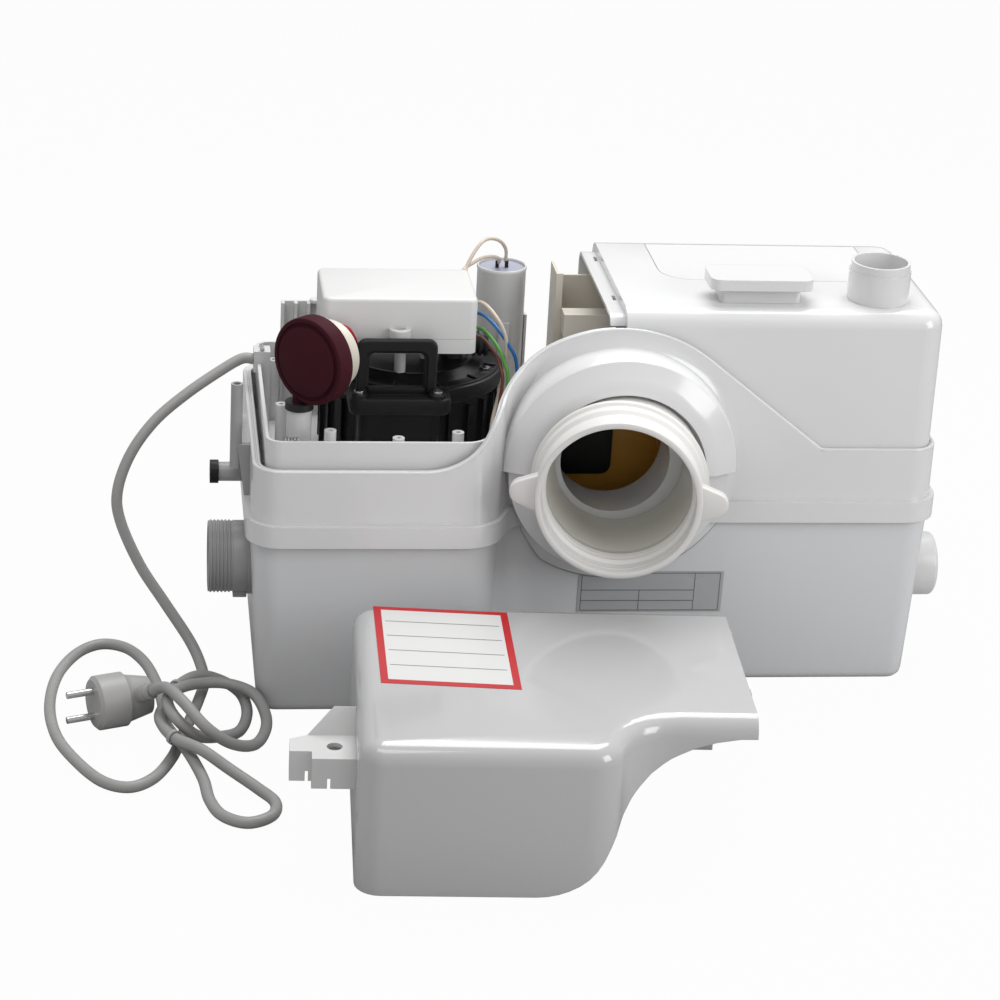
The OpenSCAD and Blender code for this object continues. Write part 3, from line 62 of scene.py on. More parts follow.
camera_up = camera_above * math.cos(camera_roll) - camera_level * math.sin(camera_roll)
camera_data = bpy.data.cameras.new("camera")
camera_data.sensor_width = sensor_width
camera_data.lens = focal_ratio * sensor_width
camera_data.shift_x = 0.000764
camera_data.shift_y = -0.062355
camera_data.clip_start = 0.05
camera_data.clip_end = 30
camera = bpy.data.objects.new("camera", camera_data)
camera.matrix_world = (
    Matrix.Translation(camera_place)
    @ Matrix((camera_right, camera_up, -camera_look)).transposed().to_4x4()
)
bpy.context.scene.collection.objects.link(camera)
bpy.context.scene.camera = camera


# Mains cable
# A grey sheathed cable leaves the clamp at the left, drops to the floor and lies there in loose
# loops. It is drawn as one smooth line through the same points as its solid.
def in_metres(points):
    """The same points, given in millimetres."""
    return [tuple(q / 1000 for q in point) for point in points]


def smooth_line(points, steps):
    """Points of a smooth line through the given ones."""
    pts = [Vector(p) for p in points]
    line = []
    for i in range(len(pts) - 1):
        a, b, c, d = pts[max(i - 1, 0)], pts[i], pts[i + 1], pts[min(i + 2, len(pts) - 1)]
        for j in range(steps):
            t = j / steps
            line.append((2 * b + (c - a) * t + (2 * a - 5 * b + 4 * c - d) * t * t
                         + (3 * b - a - 3 * c + d) * t ** 3) / 2)
    line.append(pts[-1])
    return line


def strand(name, line, radius, sides=6):
    """A round tube as a curve of one open spline."""
    data = bpy.data.curves.new(name, "CURVE")
    data.dimensions = "3D"
    data.bevel_depth = radius
    data.bevel_resolution = sides
    data.use_fill_caps = True
    spline = data.splines.new("POLY")
    spline.points.add(len(line) - 1)
    for point, place in zip(spline.points, line):
        point.co = (*place, 1)
    spline.use_smooth = True
    piece = bpy.data.objects.new(name, data)
    bpy.context.scene.collection.objects.link(piece)
    return piece


def skin_group():
    """Slow colour drift, roughness spread and fine grain of a surface, and painted shade that darkens its
    corners.
    """
    tree = bpy.data.node_groups.new("surface skin", "ShaderNodeTree")
    add = tree.interface.new_socket
    for label, kind, value in (
        ("Colour", "NodeSocketColor", (0.8, 0.8, 0.8, 1)),
        ("Deep Colour", "NodeSocketColor", (0.6, 0.6, 0.6, 1)),
        ("Drift Scale", "NodeSocketFloat", 12.0),
        ("Drift", "NodeSocketFloat", 0.3),
        ("Grain Scale", "NodeSocketFloat", 900.0),
        ("Roughness", "NodeSocketFloat", 0.3),
        ("Spread", "NodeSocketFloat", 0.08),
        ("Painted Shade Reach", "NodeSocketFloat", 0.012),
        ("Painted Corner Shade", "NodeSocketFloat", 0.35),
    ):
        add(label, in_out="INPUT", socket_type=kind).default_value = value
    for label, kind in (("Colour", "NodeSocketColor"), ("Roughness", "NodeSocketFloat"),
                        ("Height", "NodeSocketFloat")):
        add(label, in_out="OUTPUT", socket_type=kind)
    new, link = tree.nodes.new, tree.links.new
    given, out = new("NodeGroupInput"), new("NodeGroupOutput")
    place = new("ShaderNodeTexCoord")
    drift = new("ShaderNodeTexNoise")
    drift.inputs["Detail"].default_value = 3
    link(place.outputs["Object"], drift.inputs["Vector"])
    link(given.outputs["Drift Scale"], drift.inputs["Scale"])
    grain = new("ShaderNodeTexNoise")
    grain.inputs["Detail"].default_value = 4
    grain.inputs["Roughness"].default_value = 0.6
    link(place.outputs["Object"], grain.inputs["Vector"])
    link(given.outputs["Grain Scale"], grain.inputs["Scale"])
    share = new("ShaderNodeMath")
    share.operation = "MULTIPLY"
    link(drift.outputs["Fac"], share.inputs[0])
    link(given.outputs["Drift"], share.inputs[1])
    tint = new("ShaderNodeMix")
    tint.data_type = "RGBA"
    link(share.outputs[0], tint.inputs["Factor"])
    link(given.outputs["Colour"], tint.inputs[6])
    link(given.outputs["Deep Colour"], tint.inputs[7])
    # Painted shade: where ambient occlusion finds corners and creases, the colour is multiplied towards the
    # deep colour
    corner = new("ShaderNodeAmbientOcclusion")
    corner.samples = 6
    link(given.outputs["Painted Shade Reach"], corner.inputs["Distance"])
    depth = new("ShaderNodeMath")
    depth.operation = "SUBTRACT"
    depth.inputs[0].default_value = 1
    link(corner.outputs["AO"], depth.inputs[1])
    painted_shade = new("ShaderNodeMath")
    painted_shade.operation = "MULTIPLY"
    link(depth.outputs[0], painted_shade.inputs[0])
    link(given.outputs["Painted Corner Shade"], painted_shade.inputs[1])
    shade = new("ShaderNodeMix")
    shade.data_type = "RGBA"
    shade.blend_type = "MULTIPLY"
    link(painted_shade.outputs[0], shade.inputs["Factor"])
    link(tint.outputs[2], shade.inputs[6])
    link(given.outputs["Deep Colour"], shade.inputs[7])
    link(shade.outputs[2], out.inputs["Colour"])
    centre = new("ShaderNodeMath")
    centre.operation = "SUBTRACT"
    centre.inputs[1].default_value = 0.5
    link(drift.outputs["Fac"], centre.inputs[0])
    spread = new("ShaderNodeMath")
    spread.operation = "MULTIPLY_ADD"
    link(centre.outputs[0], spread.inputs[0])
    link(given.outputs["Spread"], spread.inputs[1])
    link(given.outputs["Roughness"], spread.inputs[2])
    link(spread.outputs[0], out.inputs["Roughness"])
    link(grain.outputs["Fac"], out.inputs["Height"])
    return tree


surface_skin = skin_group()
# How far from a corner the painted shade reaches
painted_shade_reach = 0.012
coat_rough = 0.08


def finish_of(name, colour, deep, rough, spread=0.06, drift=0.4, drift_scale=14, grain=900, depth=0.00002,
              strength=0.3, edge=0.0005, metal=0.0, specular=0.5, coat=0.0, painted_shade=0.4):
    """A material of one finish, whose sharp edges catch the light as slightly rounded ones, and whose corners
    get painted shade.
    """
    mat = bpy.data.materials.new(name)
    mat.use_nodes = True
    tree = mat.node_tree
    shader = tree.nodes["Principled BSDF"]
    skin = tree.nodes.new("ShaderNodeGroup")
    skin.node_tree = surface_skin
    for label, value in (("Colour", (*colour, 1)), ("Deep Colour", (*deep, 1)), ("Drift Scale", drift_scale),
                         ("Drift", drift), ("Grain Scale", grain), ("Roughness", rough), ("Spread", spread),
                         ("Painted Shade Reach", painted_shade_reach), ("Painted Corner Shade", painted_shade)):
        skin.inputs[label].default_value = value
    bump = tree.nodes.new("ShaderNodeBump")
    bump.inputs["Strength"].default_value = strength
    bump.inputs["Distance"].default_value = depth
    tree.links.new(skin.outputs["Height"], bump.inputs["Height"])
    if edge:
        bevel = tree.nodes.new("ShaderNodeBevel")
        bevel.samples = 6
        bevel.inputs["Radius"].default_value = edge
        tree.links.new(bevel.outputs["Normal"], bump.inputs["Normal"])
    tree.links.new(skin.outputs["Colour"], shader.inputs["Base Color"])
    tree.links.new(skin.outputs["Roughness"], shader.inputs["Roughness"])
    tree.links.new(bump.outputs["Normal"], shader.inputs["Normal"])
    shader.inputs["Metallic"].default_value = metal
    shader.inputs["Specular IOR Level"].default_value = specular
    shader.inputs["Coat Weight"].default_value = coat
    shader.inputs["Coat Roughness"].default_value = coat_rough
    return mat


def paint(piece, material):
    """Gives a piece its one material."""
    piece.data.materials.clear()
    piece.data.materials.append(material)
    return piece


sharp_angle = 33
weld_gap = 0.000004


def split_edges(piece, angle):
    """Keeps the edges sharper than the angle sharp in a smooth piece."""
    split = piece.modifiers.new("sharp edges", "EDGE_SPLIT")
    split.split_angle = math.radians(angle)
    split.use_edge_sharp = False


def dress(material, *names):
    """Gives nodes their material, and smooths their curved faces up to their sharp edges."""
    dressed = []
    for name in names:
        piece = paint(nodes[name], material)
        for face in piece.data.polygons:
            face.material_index = 0
            face.use_smooth = True
        if piece.data.has_custom_normals:
            with bpy.context.temp_override(object=piece, active_object=piece, selected_objects=[piece]):
                bpy.ops.mesh.customdata_custom_splitnormals_clear()
        weld = piece.modifiers.new("joined", "WELD")
        weld.merge_threshold = weld_gap
        split_edges(piece, sharp_angle)
        dressed.append(piece)
    return dressed


cable_route = in_metres([
    (-240, 60, 205), (-249, 60, 205), (-266, 53, 197), (-290, 40, 184), (-312, 28, 168),
    (-329, 16, 147), (-338, 6, 123), (-336, 0, 102), (-322, -8, 71), (-304, -17, 45), (-286, -30, 21),
    (-278, -46, 9), (-276, -66, 4.4), (-280, -92, 4.4), (-286, -120, 4.4), (-293, -150, 4.4),
    (-300, -180, 4.4), (-312, -208, 4.4), (-328, -221, 4.4), (-346, -213, 4.4), (-363, -186, 4.4),
    (-378, -148, 4.4), (-384, -102, 4.4), (-380, -54, 4.4), (-367, -18, 4.4), (-350, -2, 4.4),
    (-332, -8, 4.4), (-319, -30, 4.4), (-311, -60, 4.4), (-306, -95, 4.4), (-304, -128, 5.2),
    (-300, -160, 13), (-290, -188, 14), (-280, -216, 8), (-276, -240, 4.6), (-268, -261, 4.4),
    (-252, -271, 4.4), (-236, -262, 4.4), (-233, -244, 4.4), (-244, -226, 5.4), (-263, -212, 13),
    (-281, -202, 22), (-299, -186, 23), (-308, -158, 22), (-305, -122, 14), (-296, -90, 13),
    (-280, -74, 14), (-262, -72, 8), (-250, -86, 4.6), (-247, -115, 4.6), (-253, -143, 5.4),
    (-266, -164, 12), (-283, -176, 19), (-298, -172, 31), (-303, -148, 32), (-296, -116, 24),
    (-281, -95, 18), (-261, -91, 16), (-242, -104, 14), (-234, -132, 7), (-242, -162, 5.4),
    (-259, -181, 15), (-277, -184, 29), (-293, -168, 41), (-304, -147, 41), (-313, -138, 34),
])
cable_d = 0.008
cable_line = smooth_line(cable_route, 8)
cable_pvc = finish_of("cable sheath", (0.40, 0.395, 0.39), (0.30, 0.297, 0.29), 0.42, grain=420,
                      depth=0.00006, edge=0, drift_scale=30)
plug_grey = finish_of("plug moulding", (0.46, 0.455, 0.45), (0.36, 0.36, 0.35), 0.38, grain=700,
                      depth=0.00004, edge=0.0006)
pin_plate = finish_of("plated brass", (0.72, 0.72, 0.72), (0.55, 0.55, 0.54), 0.16, metal=1.0, edge=0.0004,
                      grain=1500, depth=0.000006, painted_shade=0.2)
cable = paint(strand("mains_cable_line", cable_line, cable_d / 2), cable_pvc)
on_cable = dress(plug_grey, "plug_body") + dress(pin_plate, "plug_pins") + dress(plug_grey, "cable_ties")
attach(cable, "unit")
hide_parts("mains_cable")

# Floor, backdrop and light
# The unit stands on a seamless sweep of grey paper, which the camera sees as white, as it does the
# backdrop. Three soft lamps and a pale sky light it at a plain level.
floor_side = 9.0
floor_drop = 0.0004
paper_grey = 0.42
paper_glow = 0.97
room_light = 0.48
floor_mesh = bpy.data.meshes.new("floor")
floor_mesh.from_pydata(
    [(-floor_side, -floor_side, 0), (floor_side, -floor_side, 0), (floor_side, floor_side, 0),
     (-floor_side, floor_side, 0)], [], [(0, 1, 2, 3)])
floor = bpy.data.objects.new("floor", floor_mesh)
floor.location.z = -floor_drop
bpy.context.scene.collection.objects.link(floor)
floor_paper = bpy.data.materials.new("white sweep")
floor_paper.use_nodes = True
tree = floor_paper.node_tree
tree.nodes.clear()
paper = tree.nodes.new("ShaderNodeBsdfDiffuse")
paper.inputs["Color"].default_value = (paper_grey, paper_grey, paper_grey, 1)
glow = tree.nodes.new("ShaderNodeEmission")
glow.inputs["Strength"].default_value = 1
seen = tree.nodes.new("ShaderNodeLightPath")
share = tree.nodes.new("ShaderNodeMath")
share.operation = "MULTIPLY"
share.inputs[1].default_value = paper_glow
both = tree.nodes.new("ShaderNodeMixShader")
sheet_out = tree.nodes.new("ShaderNodeOutputMaterial")
tree.links.new(seen.outputs["Is Camera Ray"], share.inputs[0])
tree.links.new(share.outputs[0], both.inputs[0])
tree.links.new(paper.outputs[0], both.inputs[1])
tree.links.new(glow.outputs[0], both.inputs[2])
tree.links.new(both.outputs[0], sheet_out.inputs["Surface"])
paint(floor, floor_paper)

sky = bpy.data.worlds.new("studio")
sky.use_nodes = True
tree = sky.node_tree
tree.nodes.clear()
room = tree.nodes.new("ShaderNodeBackground")
room.inputs["Color"].default_value = (1, 1, 1, 1)
room.inputs["Strength"].default_value = room_light
backdrop = tree.nodes.new("ShaderNodeBackground")
backdrop.inputs["Strength"].default_value = 1
seen = tree.nodes.new("ShaderNodeLightPath")
both = tree.nodes.new("ShaderNodeMixShader")
sky_out = tree.nodes.new("ShaderNodeOutputWorld")
tree.links.new(seen.outputs["Is Camera Ray"], both.inputs[0])
tree.links.new(room.outputs[0], both.inputs[1])
tree.links.new(backdrop.outputs[0], both.inputs[2])
tree.links.new(both.outputs[0], sky_out.inputs["Surface"])
bpy.context.scene.world = sky


def lamp(name, place, aim, width, height, power):
    """A wide soft lamp that looks at a point."""
    data = bpy.data.lights.new(name, "AREA")
    data.shape = "RECTANGLE"
    data.size = width
    data.size_y = height
    data.energy = power
    piece = bpy.data.objects.new(name, data)
    piece.location = place
    piece.rotation_euler = (Vector(aim) - Vector(place)).to_track_quat("-Z", "Y").to_euler()
    bpy.context.scene.collection.objects.link(piece)


lamp("soft box above", place=(0.2, 0.5, 1.35), aim=(0, 0, 0.2), width=0.9, height=0.9, power=13)
lamp("soft box right", place=(1.15, -0.95, 0.75), aim=(0.1, 0, 0.15), width=0.6, height=0.8, power=8)
lamp("soft box front", place=(-0.45, -0.6, 1.3), aim=(-0.1, 0.05, 0.27), width=0.7, height=0.5, power=3.2)
bpy.context.scene.view_settings.view_transform = "Standard"

# Tank
# The lower tank is one injection moulding in off-white plastic, tapered so that it leaves its mould.
# The stub of its second inlet, at the right, is of the same plastic, and a white cap closes it.
satin_white = finish_of("satin white moulding", (0.76, 0.765, 0.775), (0.62, 0.625, 0.64), 0.24, spread=0.08,
                        drift=0.3, drift_scale=5, grain=45, depth=0.0001, strength=0.12, edge=0.0008)
small_white = finish_of("small white moulding", (0.76, 0.76, 0.755), (0.60, 0.60, 0.60), 0.30, edge=0.0005)
dress(satin_white, "tank", "side_stub")
dress(small_white, "side_cap")


# Casing
# A glossy white moulding that closes the tank. Along its top edge run two moulded beads: the outer one all
# along the front, over the arch and down its slope, the inner one where the pump chamber's cover sits.
def arc_points(cx, cy, r, start, end, count):
    """Points of an arc about a centre, from one angle in degrees to another."""
    return [(cx + r * math.cos(math.radians(start + (end - start) * i / count)),
             cy + r * math.sin(math.radians(start + (end - start) * i / count))) for i in range(count + 1)]


gloss_white = finish_of("glossy white moulding", (0.80, 0.80, 0.805), (0.66, 0.66, 0.67), 0.17, spread=0.05,
                        drift=0.25, drift_scale=6, grain=60, depth=0.00008, strength=0.1, edge=0.0008,
                        coat=0.3)
dress(gloss_white, "casing")
casing_half_w = 0.250
corner_r = 0.024
left_corner_y, right_corner_y = -0.091, -0.044
bend_r = 0.031706
bend_out = (-0.100, -0.083294)
bend_in = (-0.03875, -0.0997)
bend_turn = 75
bead_step = 0.004
bead_back = 0.09
arch_mid, arch_low, arch_r = 0.010, 0.171, 0.102
fillet_mid, fillet_low, fillet_r = -0.12833, 0.234, 0.050
band_top, arch_left, arch_right, slope_foot = 0.184, -0.0828, 0.0728, 0.159


def rim_height(x):
    """Height of the casing's top edge over x."""
    if x < fillet_mid or x > slope_foot:
        return band_top
    if x < arch_left:
        return fillet_low - math.sqrt(max(fillet_r ** 2 - (x - fillet_mid) ** 2, 0))
    if x < arch_right:
        return arch_low + math.sqrt(arch_r ** 2 - (x - arch_mid) ** 2)
    high = arch_low + math.sqrt(arch_r ** 2 - (arch_right - arch_mid) ** 2)
    return high + (band_top - high) * (x - arch_right) / (slope_foot - arch_right)


def front_line(inset):
    """The casing's front outline seen from above, set in from its skirt, from the left side to the right."""
    corner_x = casing_half_w - corner_r
    corner = arc_points(-corner_x, left_corner_y, corner_r - inset, 180, 270, 10)
    bend = (arc_points(*bend_out, bend_r - inset, 270, 270 + bend_turn, 14)
            + arc_points(*bend_in, bend_r + inset, 90 + bend_turn, 90, 14)[1:])
    far = arc_points(corner_x, right_corner_y, corner_r - inset, 270, 360, 10)
    knots = ([(inset - casing_half_w, bead_back)] + corner + bend + far
             + [(casing_half_w - inset, bead_back)])
    line = [knots[0]]
    for a, b in zip(knots, knots[1:]):
        count = max(1, int(math.dist(a, b) / bead_step))
        line += [(a[0] + (b[0] - a[0]) * i / count, a[1] + (b[1] - a[1]) * i / count)
                 for i in range(1, count + 1)]
    return line


for name, inset, radius, lift, limit in (("rim_bead_outer", 0.0052, 0.0015, 0.0004, 1.0),
                                         ("rim_bead_inner", 0.0086, 0.0011, 0.0002, 0.008)):
    line = [(x, y, rim_height(x) + lift) for x, y in front_line(inset) if x < limit]
    bead = paint(strand(name, line, radius, 3), gloss_white)
    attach(bead, "unit")


# Outlet, drain and screw tower
# Pale grey pipe pieces at the left side. The outlet has six coarse threads for its union nut, a plain part
# with a key, and a collar at the tank. A riser, a valve seat and a rubber flap stand behind it.
def turned(bm, profile, place, count=64, closed=False):
    """Turns (radius, height) pairs about the upright through place; the ends close if their radius is 0."""
    rings = []
    for r, z in profile:
        if r < 1e-9:
            rings.append([bm.verts.new((place[0], place[1], place[2] + z))])
        else:
            rings.append([bm.verts.new((place[0] + r * math.cos(2 * math.pi * i / count),
                                        place[1] + r * math.sin(2 * math.pi * i / count), place[2] + z))
                          for i in range(count)])
    pairs = list(zip(rings, rings[1:]))
    if closed:
        pairs.append((rings[-1], rings[0]))
    for low, high in pairs:
        for i in range(count):
            j = (i + 1) % count
            if len(low) == 1:
                bm.faces.new((low[0], high[j], high[i]))
            elif len(high) == 1:
                bm.faces.new((low[i], low[j], high[0]))
            else:
                bm.faces.new((low[i], low[j], high[j], high[i]))


def block(bm, low, high, round_by):
    """A block between two corners, with its edges rounded over two steps."""
    made = bmesh.ops.create_cube(bm, size=1)["verts"]
    for v in made:
        v.co = Vector([lo + (hi - lo) * (c + 0.5) for lo, hi, c in zip(low, high, v.co)])
    edges = list({e for v in made for e in v.link_edges})
    bmesh.ops.bevel(bm, geom=edges, offset=round_by, segments=2, affect="EDGES", profile=0.5)


def settle(name, bm, material, body, angle=sharp_angle, turn=None):
    """Makes a finished piece of a mesh: faces outward, smooth up to its sharp edges."""
    bmesh.ops.recalc_face_normals(bm, faces=bm.faces)
    if turn is not None:
        bmesh.ops.transform(bm, matrix=turn, verts=bm.verts)
    for face in bm.faces:
        face.smooth = True
    mesh = bpy.data.meshes.new(name)
    bm.to_mesh(mesh)
    bm.free()
    piece = bpy.data.objects.new(name, mesh)
    bpy.context.scene.collection.objects.link(piece)
    paint(piece, material)
    split_edges(piece, angle)
    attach(piece, body)
    return piece


pipe_grey = finish_of("pale grey pipe", (0.40, 0.40, 0.40), (0.30, 0.30, 0.30), 0.33, edge=0.0004)
black_glass = finish_of("glass-filled black", (0.010, 0.010, 0.011), (0.005, 0.005, 0.005), 0.42, spread=0.16,
                        drift=0.5, drift_scale=40, grain=1100, depth=0.00012, strength=0.5, edge=0.0006,
                        painted_shade=0.2, specular=0.3)
black_rubber = finish_of("black rubber", (0.02, 0.02, 0.021), (0.01, 0.01, 0.01), 0.5, edge=0.0005, painted_shade=0.2)
dress(pipe_grey, "screw_tower", "discharge_stub", "drain_pipe", "discharge_pipe", "valve_seat")
dress(black_glass, "drain_cap")
dress(black_rubber, "valve_flap")
outlet_mouth = Vector((-0.274, -0.040, 0.092))
outlet_bore_r = 0.023
thread_count = 6
thread_first = 0.0010
thread_pitch = 0.0026
thread_root_r, thread_crest_r = 0.0251, 0.0260
outlet_plain_r, outlet_collar_r = 0.0256, 0.0270
outlet_plain_at, outlet_collar_at, outlet_end = 0.0176, 0.0275, 0.040
key_low, key_high, key_round = (0.0200, -0.0120, 0.0178), (0.0272, 0.0120, 0.0276), 0.0006
outlet_profile = [(outlet_bore_r, 0), (0.0250, 0), (0.0254, 0.0004)]
for i in range(thread_count):
    start = thread_first + thread_pitch * i
    outlet_profile += [(thread_root_r, start), (thread_crest_r, start + 0.0008),
                       (thread_crest_r, start + 0.0012), (thread_root_r, start + 0.0020)]
outlet_profile += [(thread_root_r, outlet_plain_at - 0.0004), (outlet_plain_r, outlet_plain_at),
                   (outlet_plain_r, outlet_collar_at), (outlet_collar_r, outlet_collar_at),
                   (outlet_collar_r, outlet_end), (outlet_bore_r, outlet_end)]
outlet_turn = Matrix.Translation(outlet_mouth) @ Matrix.Rotation(math.radians(90), 4, "Y")
bm = bmesh.new()
turned(bm, outlet_profile, (0, 0, 0), 96, closed=True)
block(bm, key_low, key_high, key_round)
outlet = settle("discharge_stub_threaded", bm, pipe_grey, "unit", 25, outlet_turn)
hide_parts("discharge_stub")

# Strainer and baffle
# An orange-brown moulded basket stands in the tank under the inlet, and a black guard plate sits before
# its back panel. Both show through the cuff.
amber = finish_of("orange-brown moulding", (0.72, 0.36, 0.06), (0.50, 0.22, 0.03), 0.34, edge=0.0005)
dress(amber, "strainer")
dress(black_glass, "baffle")


# Inlet cuff
# A white rubber cuff for the toilet's outlet: turned steps with rounded edges outside, three sealing lips
# and a fine groove inside, and two thick lugs with the mould's parting line. A rigid sleeve sits inside it.
def loft_rings(bm, rings):
    """Joins rings of equal count, lowest first, into a skin with its end faces."""
    made = [[bm.verts.new(q) for q in ring] for ring in rings]
    count = len(rings[0])
    for low, high in zip(made, made[1:]):
        for i in range(count):
            j = (i + 1) % count
            bm.faces.new((low[i], low[j], high[j], high[i]))
    bm.faces.new(made[0][::-1])
    bm.faces.new(made[-1])


cuff_rubber = finish_of("white rubber", (0.82, 0.81, 0.79), (0.70, 0.685, 0.66), 0.44, spread=0.1, drift=0.35,
                        grain=260, depth=0.00006, edge=0.0008)
sleeve_ivory = finish_of("pale ivory sleeve", (0.74, 0.73, 0.67), (0.60, 0.59, 0.52), 0.26, edge=0.0006)
dress(cuff_rubber, "inlet_cuff")
dress(sleeve_ivory, "inlet_sleeve")
cuff_r = 0.053
cuff_neck_r = 0.0575
cuff_mid_r = 0.0600
cuff_ring_r = 0.0620
cuff_root = -0.012
cuff_foot = Vector((0.010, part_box("inlet_cuff")[1].y, 0.178))
cuff_turn = (Matrix.Translation(cuff_foot) @ Matrix.Rotation(math.radians(-10), 4, "Z")
             @ Matrix.Rotation(math.radians(90), 4, "X"))
cuff_outside = [(cuff_neck_r, cuff_root), (cuff_neck_r, 0.0206), (0.0578, 0.0214), (0.0590, 0.0219),
                (0.0612, 0.0220), (cuff_ring_r, 0.0228), (cuff_ring_r, 0.0268), (0.0614, 0.0275),
                (0.0604, 0.0280), (cuff_mid_r, 0.0286), (cuff_mid_r, 0.0355), (0.0594, 0.0363),
                (0.0582, 0.0376), (cuff_neck_r, 0.0385), (cuff_neck_r, 0.0536), (0.0571, 0.0545),
                (0.0562, 0.0550)]
cuff_mouth = [(0.0540, 0.0550), (0.0533, 0.0547), (cuff_r, 0.0540), (cuff_r, 0.0484), (0.0535, 0.0479),
              (0.0535, 0.0473), (cuff_r, 0.0468)]
cuff_lips = [(r, z + dz) for lip_r, z in ((0.0506, 0.035), (0.0506, 0.0285), (0.0512, 0.0232))
             for r, dz in ((cuff_r, 0.0040), (lip_r, 0.0022), (lip_r, 0.0012), (cuff_r, 0.0002))]
bm = bmesh.new()
turned(bm, cuff_outside + cuff_mouth + cuff_lips + [(cuff_r, cuff_root)], (0, 0, 0), 128, True)
bmesh.ops.recalc_face_normals(bm, faces=bm.faces)
# The cuff's foot is cut off flush with the boss's front, behind which nothing of it shows
bmesh.ops.bisect_plane(bm, geom=bm.verts[:] + bm.edges[:] + bm.faces[:],
                       plane_co=cuff_turn.inverted() @ cuff_foot,
                       plane_no=cuff_turn.inverted().to_3x3() @ Vector((0, 1, 0)), clear_outer=True)
bmesh.ops.bridge_loops(bm, edges=[edge for edge in bm.edges if edge.is_boundary])
lug_middle = 0.046
lug_tip = 0.066
lug_round = 0.009
lug_root = 0.0545
lug_half = 0.0140
for side in (-1, 1):
    rings = []
    for z, inset in ((-0.0045, 0.0014), (-0.0040, 0.0005), (-0.0030, 0), (-0.0003, 0), (-0.0002, -0.0003),
                     (0.0002, -0.0003), (0.0003, 0), (0.0030, 0), (0.0040, 0.0005), (0.0045, 0.0014)):
        flat = ([(lug_root, inset - lug_half)] + arc_points(lug_tip, 0, lug_round - inset, -72, 72, 12)
                + [(lug_root, lug_half - inset)])
        rings.append([(side * x, side * y, lug_middle + z) for x, y in flat])
    loft_rings(bm, rings)
cuff = settle("inlet_cuff_moulding", bm, cuff_rubber, "unit", turn=cuff_turn)
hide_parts("inlet_cuff")

# Channel between the chambers
# Upright panels and a small open box in thin cream plastic. They stand on the casing's deck at the right
# cover's open end.
cream = finish_of("cream moulding", (0.72, 0.68, 0.60), (0.58, 0.53, 0.45), 0.38, edge=0.0004)
dress(cream, "filter_channel", "channel_box")

# Right cover
# The filter chamber's cover in the casing's glossy plastic, with a flush hatch, a moulded grip and a round
# spigot on its top. A pad of charcoal foam hangs under the hatch.
foam = finish_of("charcoal foam", (0.05, 0.05, 0.05), (0.02, 0.02, 0.02), 0.9, grain=700, depth=0.0006,
                 edge=0)
dress(gloss_white, "right_cover", "filter_hatch", "hatch_handle", "vent_spigot")
dress(foam, "charcoal_filter")

# Loose cover
# The pump chamber's cover is the same kind of moulding. It has been lifted off and lies before the unit, with
# the bracket for the tower's screw at its left.
# Its colour is the casing's glossy white, painted darker as shade
shade_painted_white = finish_of("glossy white moulding with painted shade", (0.56, 0.56, 0.565), (0.43, 0.43, 0.44), 0.15,
                         spread=0.05, drift=0.25, drift_scale=6, grain=60, depth=0.00008, strength=0.1,
                         edge=0.0008, coat=0.5)
dress(shade_painted_white, "loose_cover")
dress(small_white, "cover_lug")

# Motor and pump
# A steel motor with varnished copper windings in a black glass-filled housing, and below it the seal, the
# impeller, the cutter and the volute. The bearings, the shaft and the screws are bright steel.
bright_steel = finish_of("bright steel", (0.62, 0.62, 0.63), (0.45, 0.45, 0.46), 0.2, metal=1.0, edge=0.0003,
                         grain=1400, depth=0.00001, painted_shade=0.2)
copper = finish_of("varnished copper", (0.45, 0.18, 0.06), (0.25, 0.08, 0.02), 0.3, edge=0.0005)
dress(black_glass, "pump_body", "impeller", "volute")
dress(black_rubber, "cable_boot", "shaft_seal")
dress(bright_steel, "cover_screws", "motor_stator", "rotor_core", "motor_shaft", "upper_bearing",
      "lower_bearing", "cutter")
dress(copper, "stator_coils")

# Pump cover
# One black glass-filled moulding: a thick plate with a drawn-out front, a shallow dome with moulded rings and
# ribs, bosses for its screws, and a loop handle at the front by which the pump is lifted out.
dress(black_glass, "pump_cover")
pump_axis = Vector((-0.129, 0.029, 0))
parting_z = 0.206
cover_z = 0.218
plate_r = 0.068
plate_left, plate_right, plate_front, plate_corner = -0.049, 0.023, -0.086, 0.008
spoke_count = 12


def add_turned(bm, part, turn):
    """Adds a mesh to another one, moved and turned."""
    bmesh.ops.transform(part, matrix=turn, verts=part.verts)
    spare = bpy.data.meshes.new("spare")
    part.to_mesh(spare)
    part.free()
    bm.from_mesh(spare)
    bpy.data.meshes.remove(spare)


def plate_outline(inset):
    """The plate's outline about the pump's axis: a round with a square front."""
    r = plate_r - inset
    left, right, front = plate_left + inset, plate_right - inset, plate_front + inset
    corner = plate_corner - inset
    start = math.degrees(math.atan2(-math.sqrt(r * r - right * right), right))
    end = 360 + math.degrees(math.atan2(-math.sqrt(r * r - left * left), left))
    return (arc_points(0, 0, r, start, end, 60)
            + arc_points(left + corner, front + corner, corner, 180, 270, 6)
            + arc_points(right - corner, front + corner, corner, 270, 360, 6))


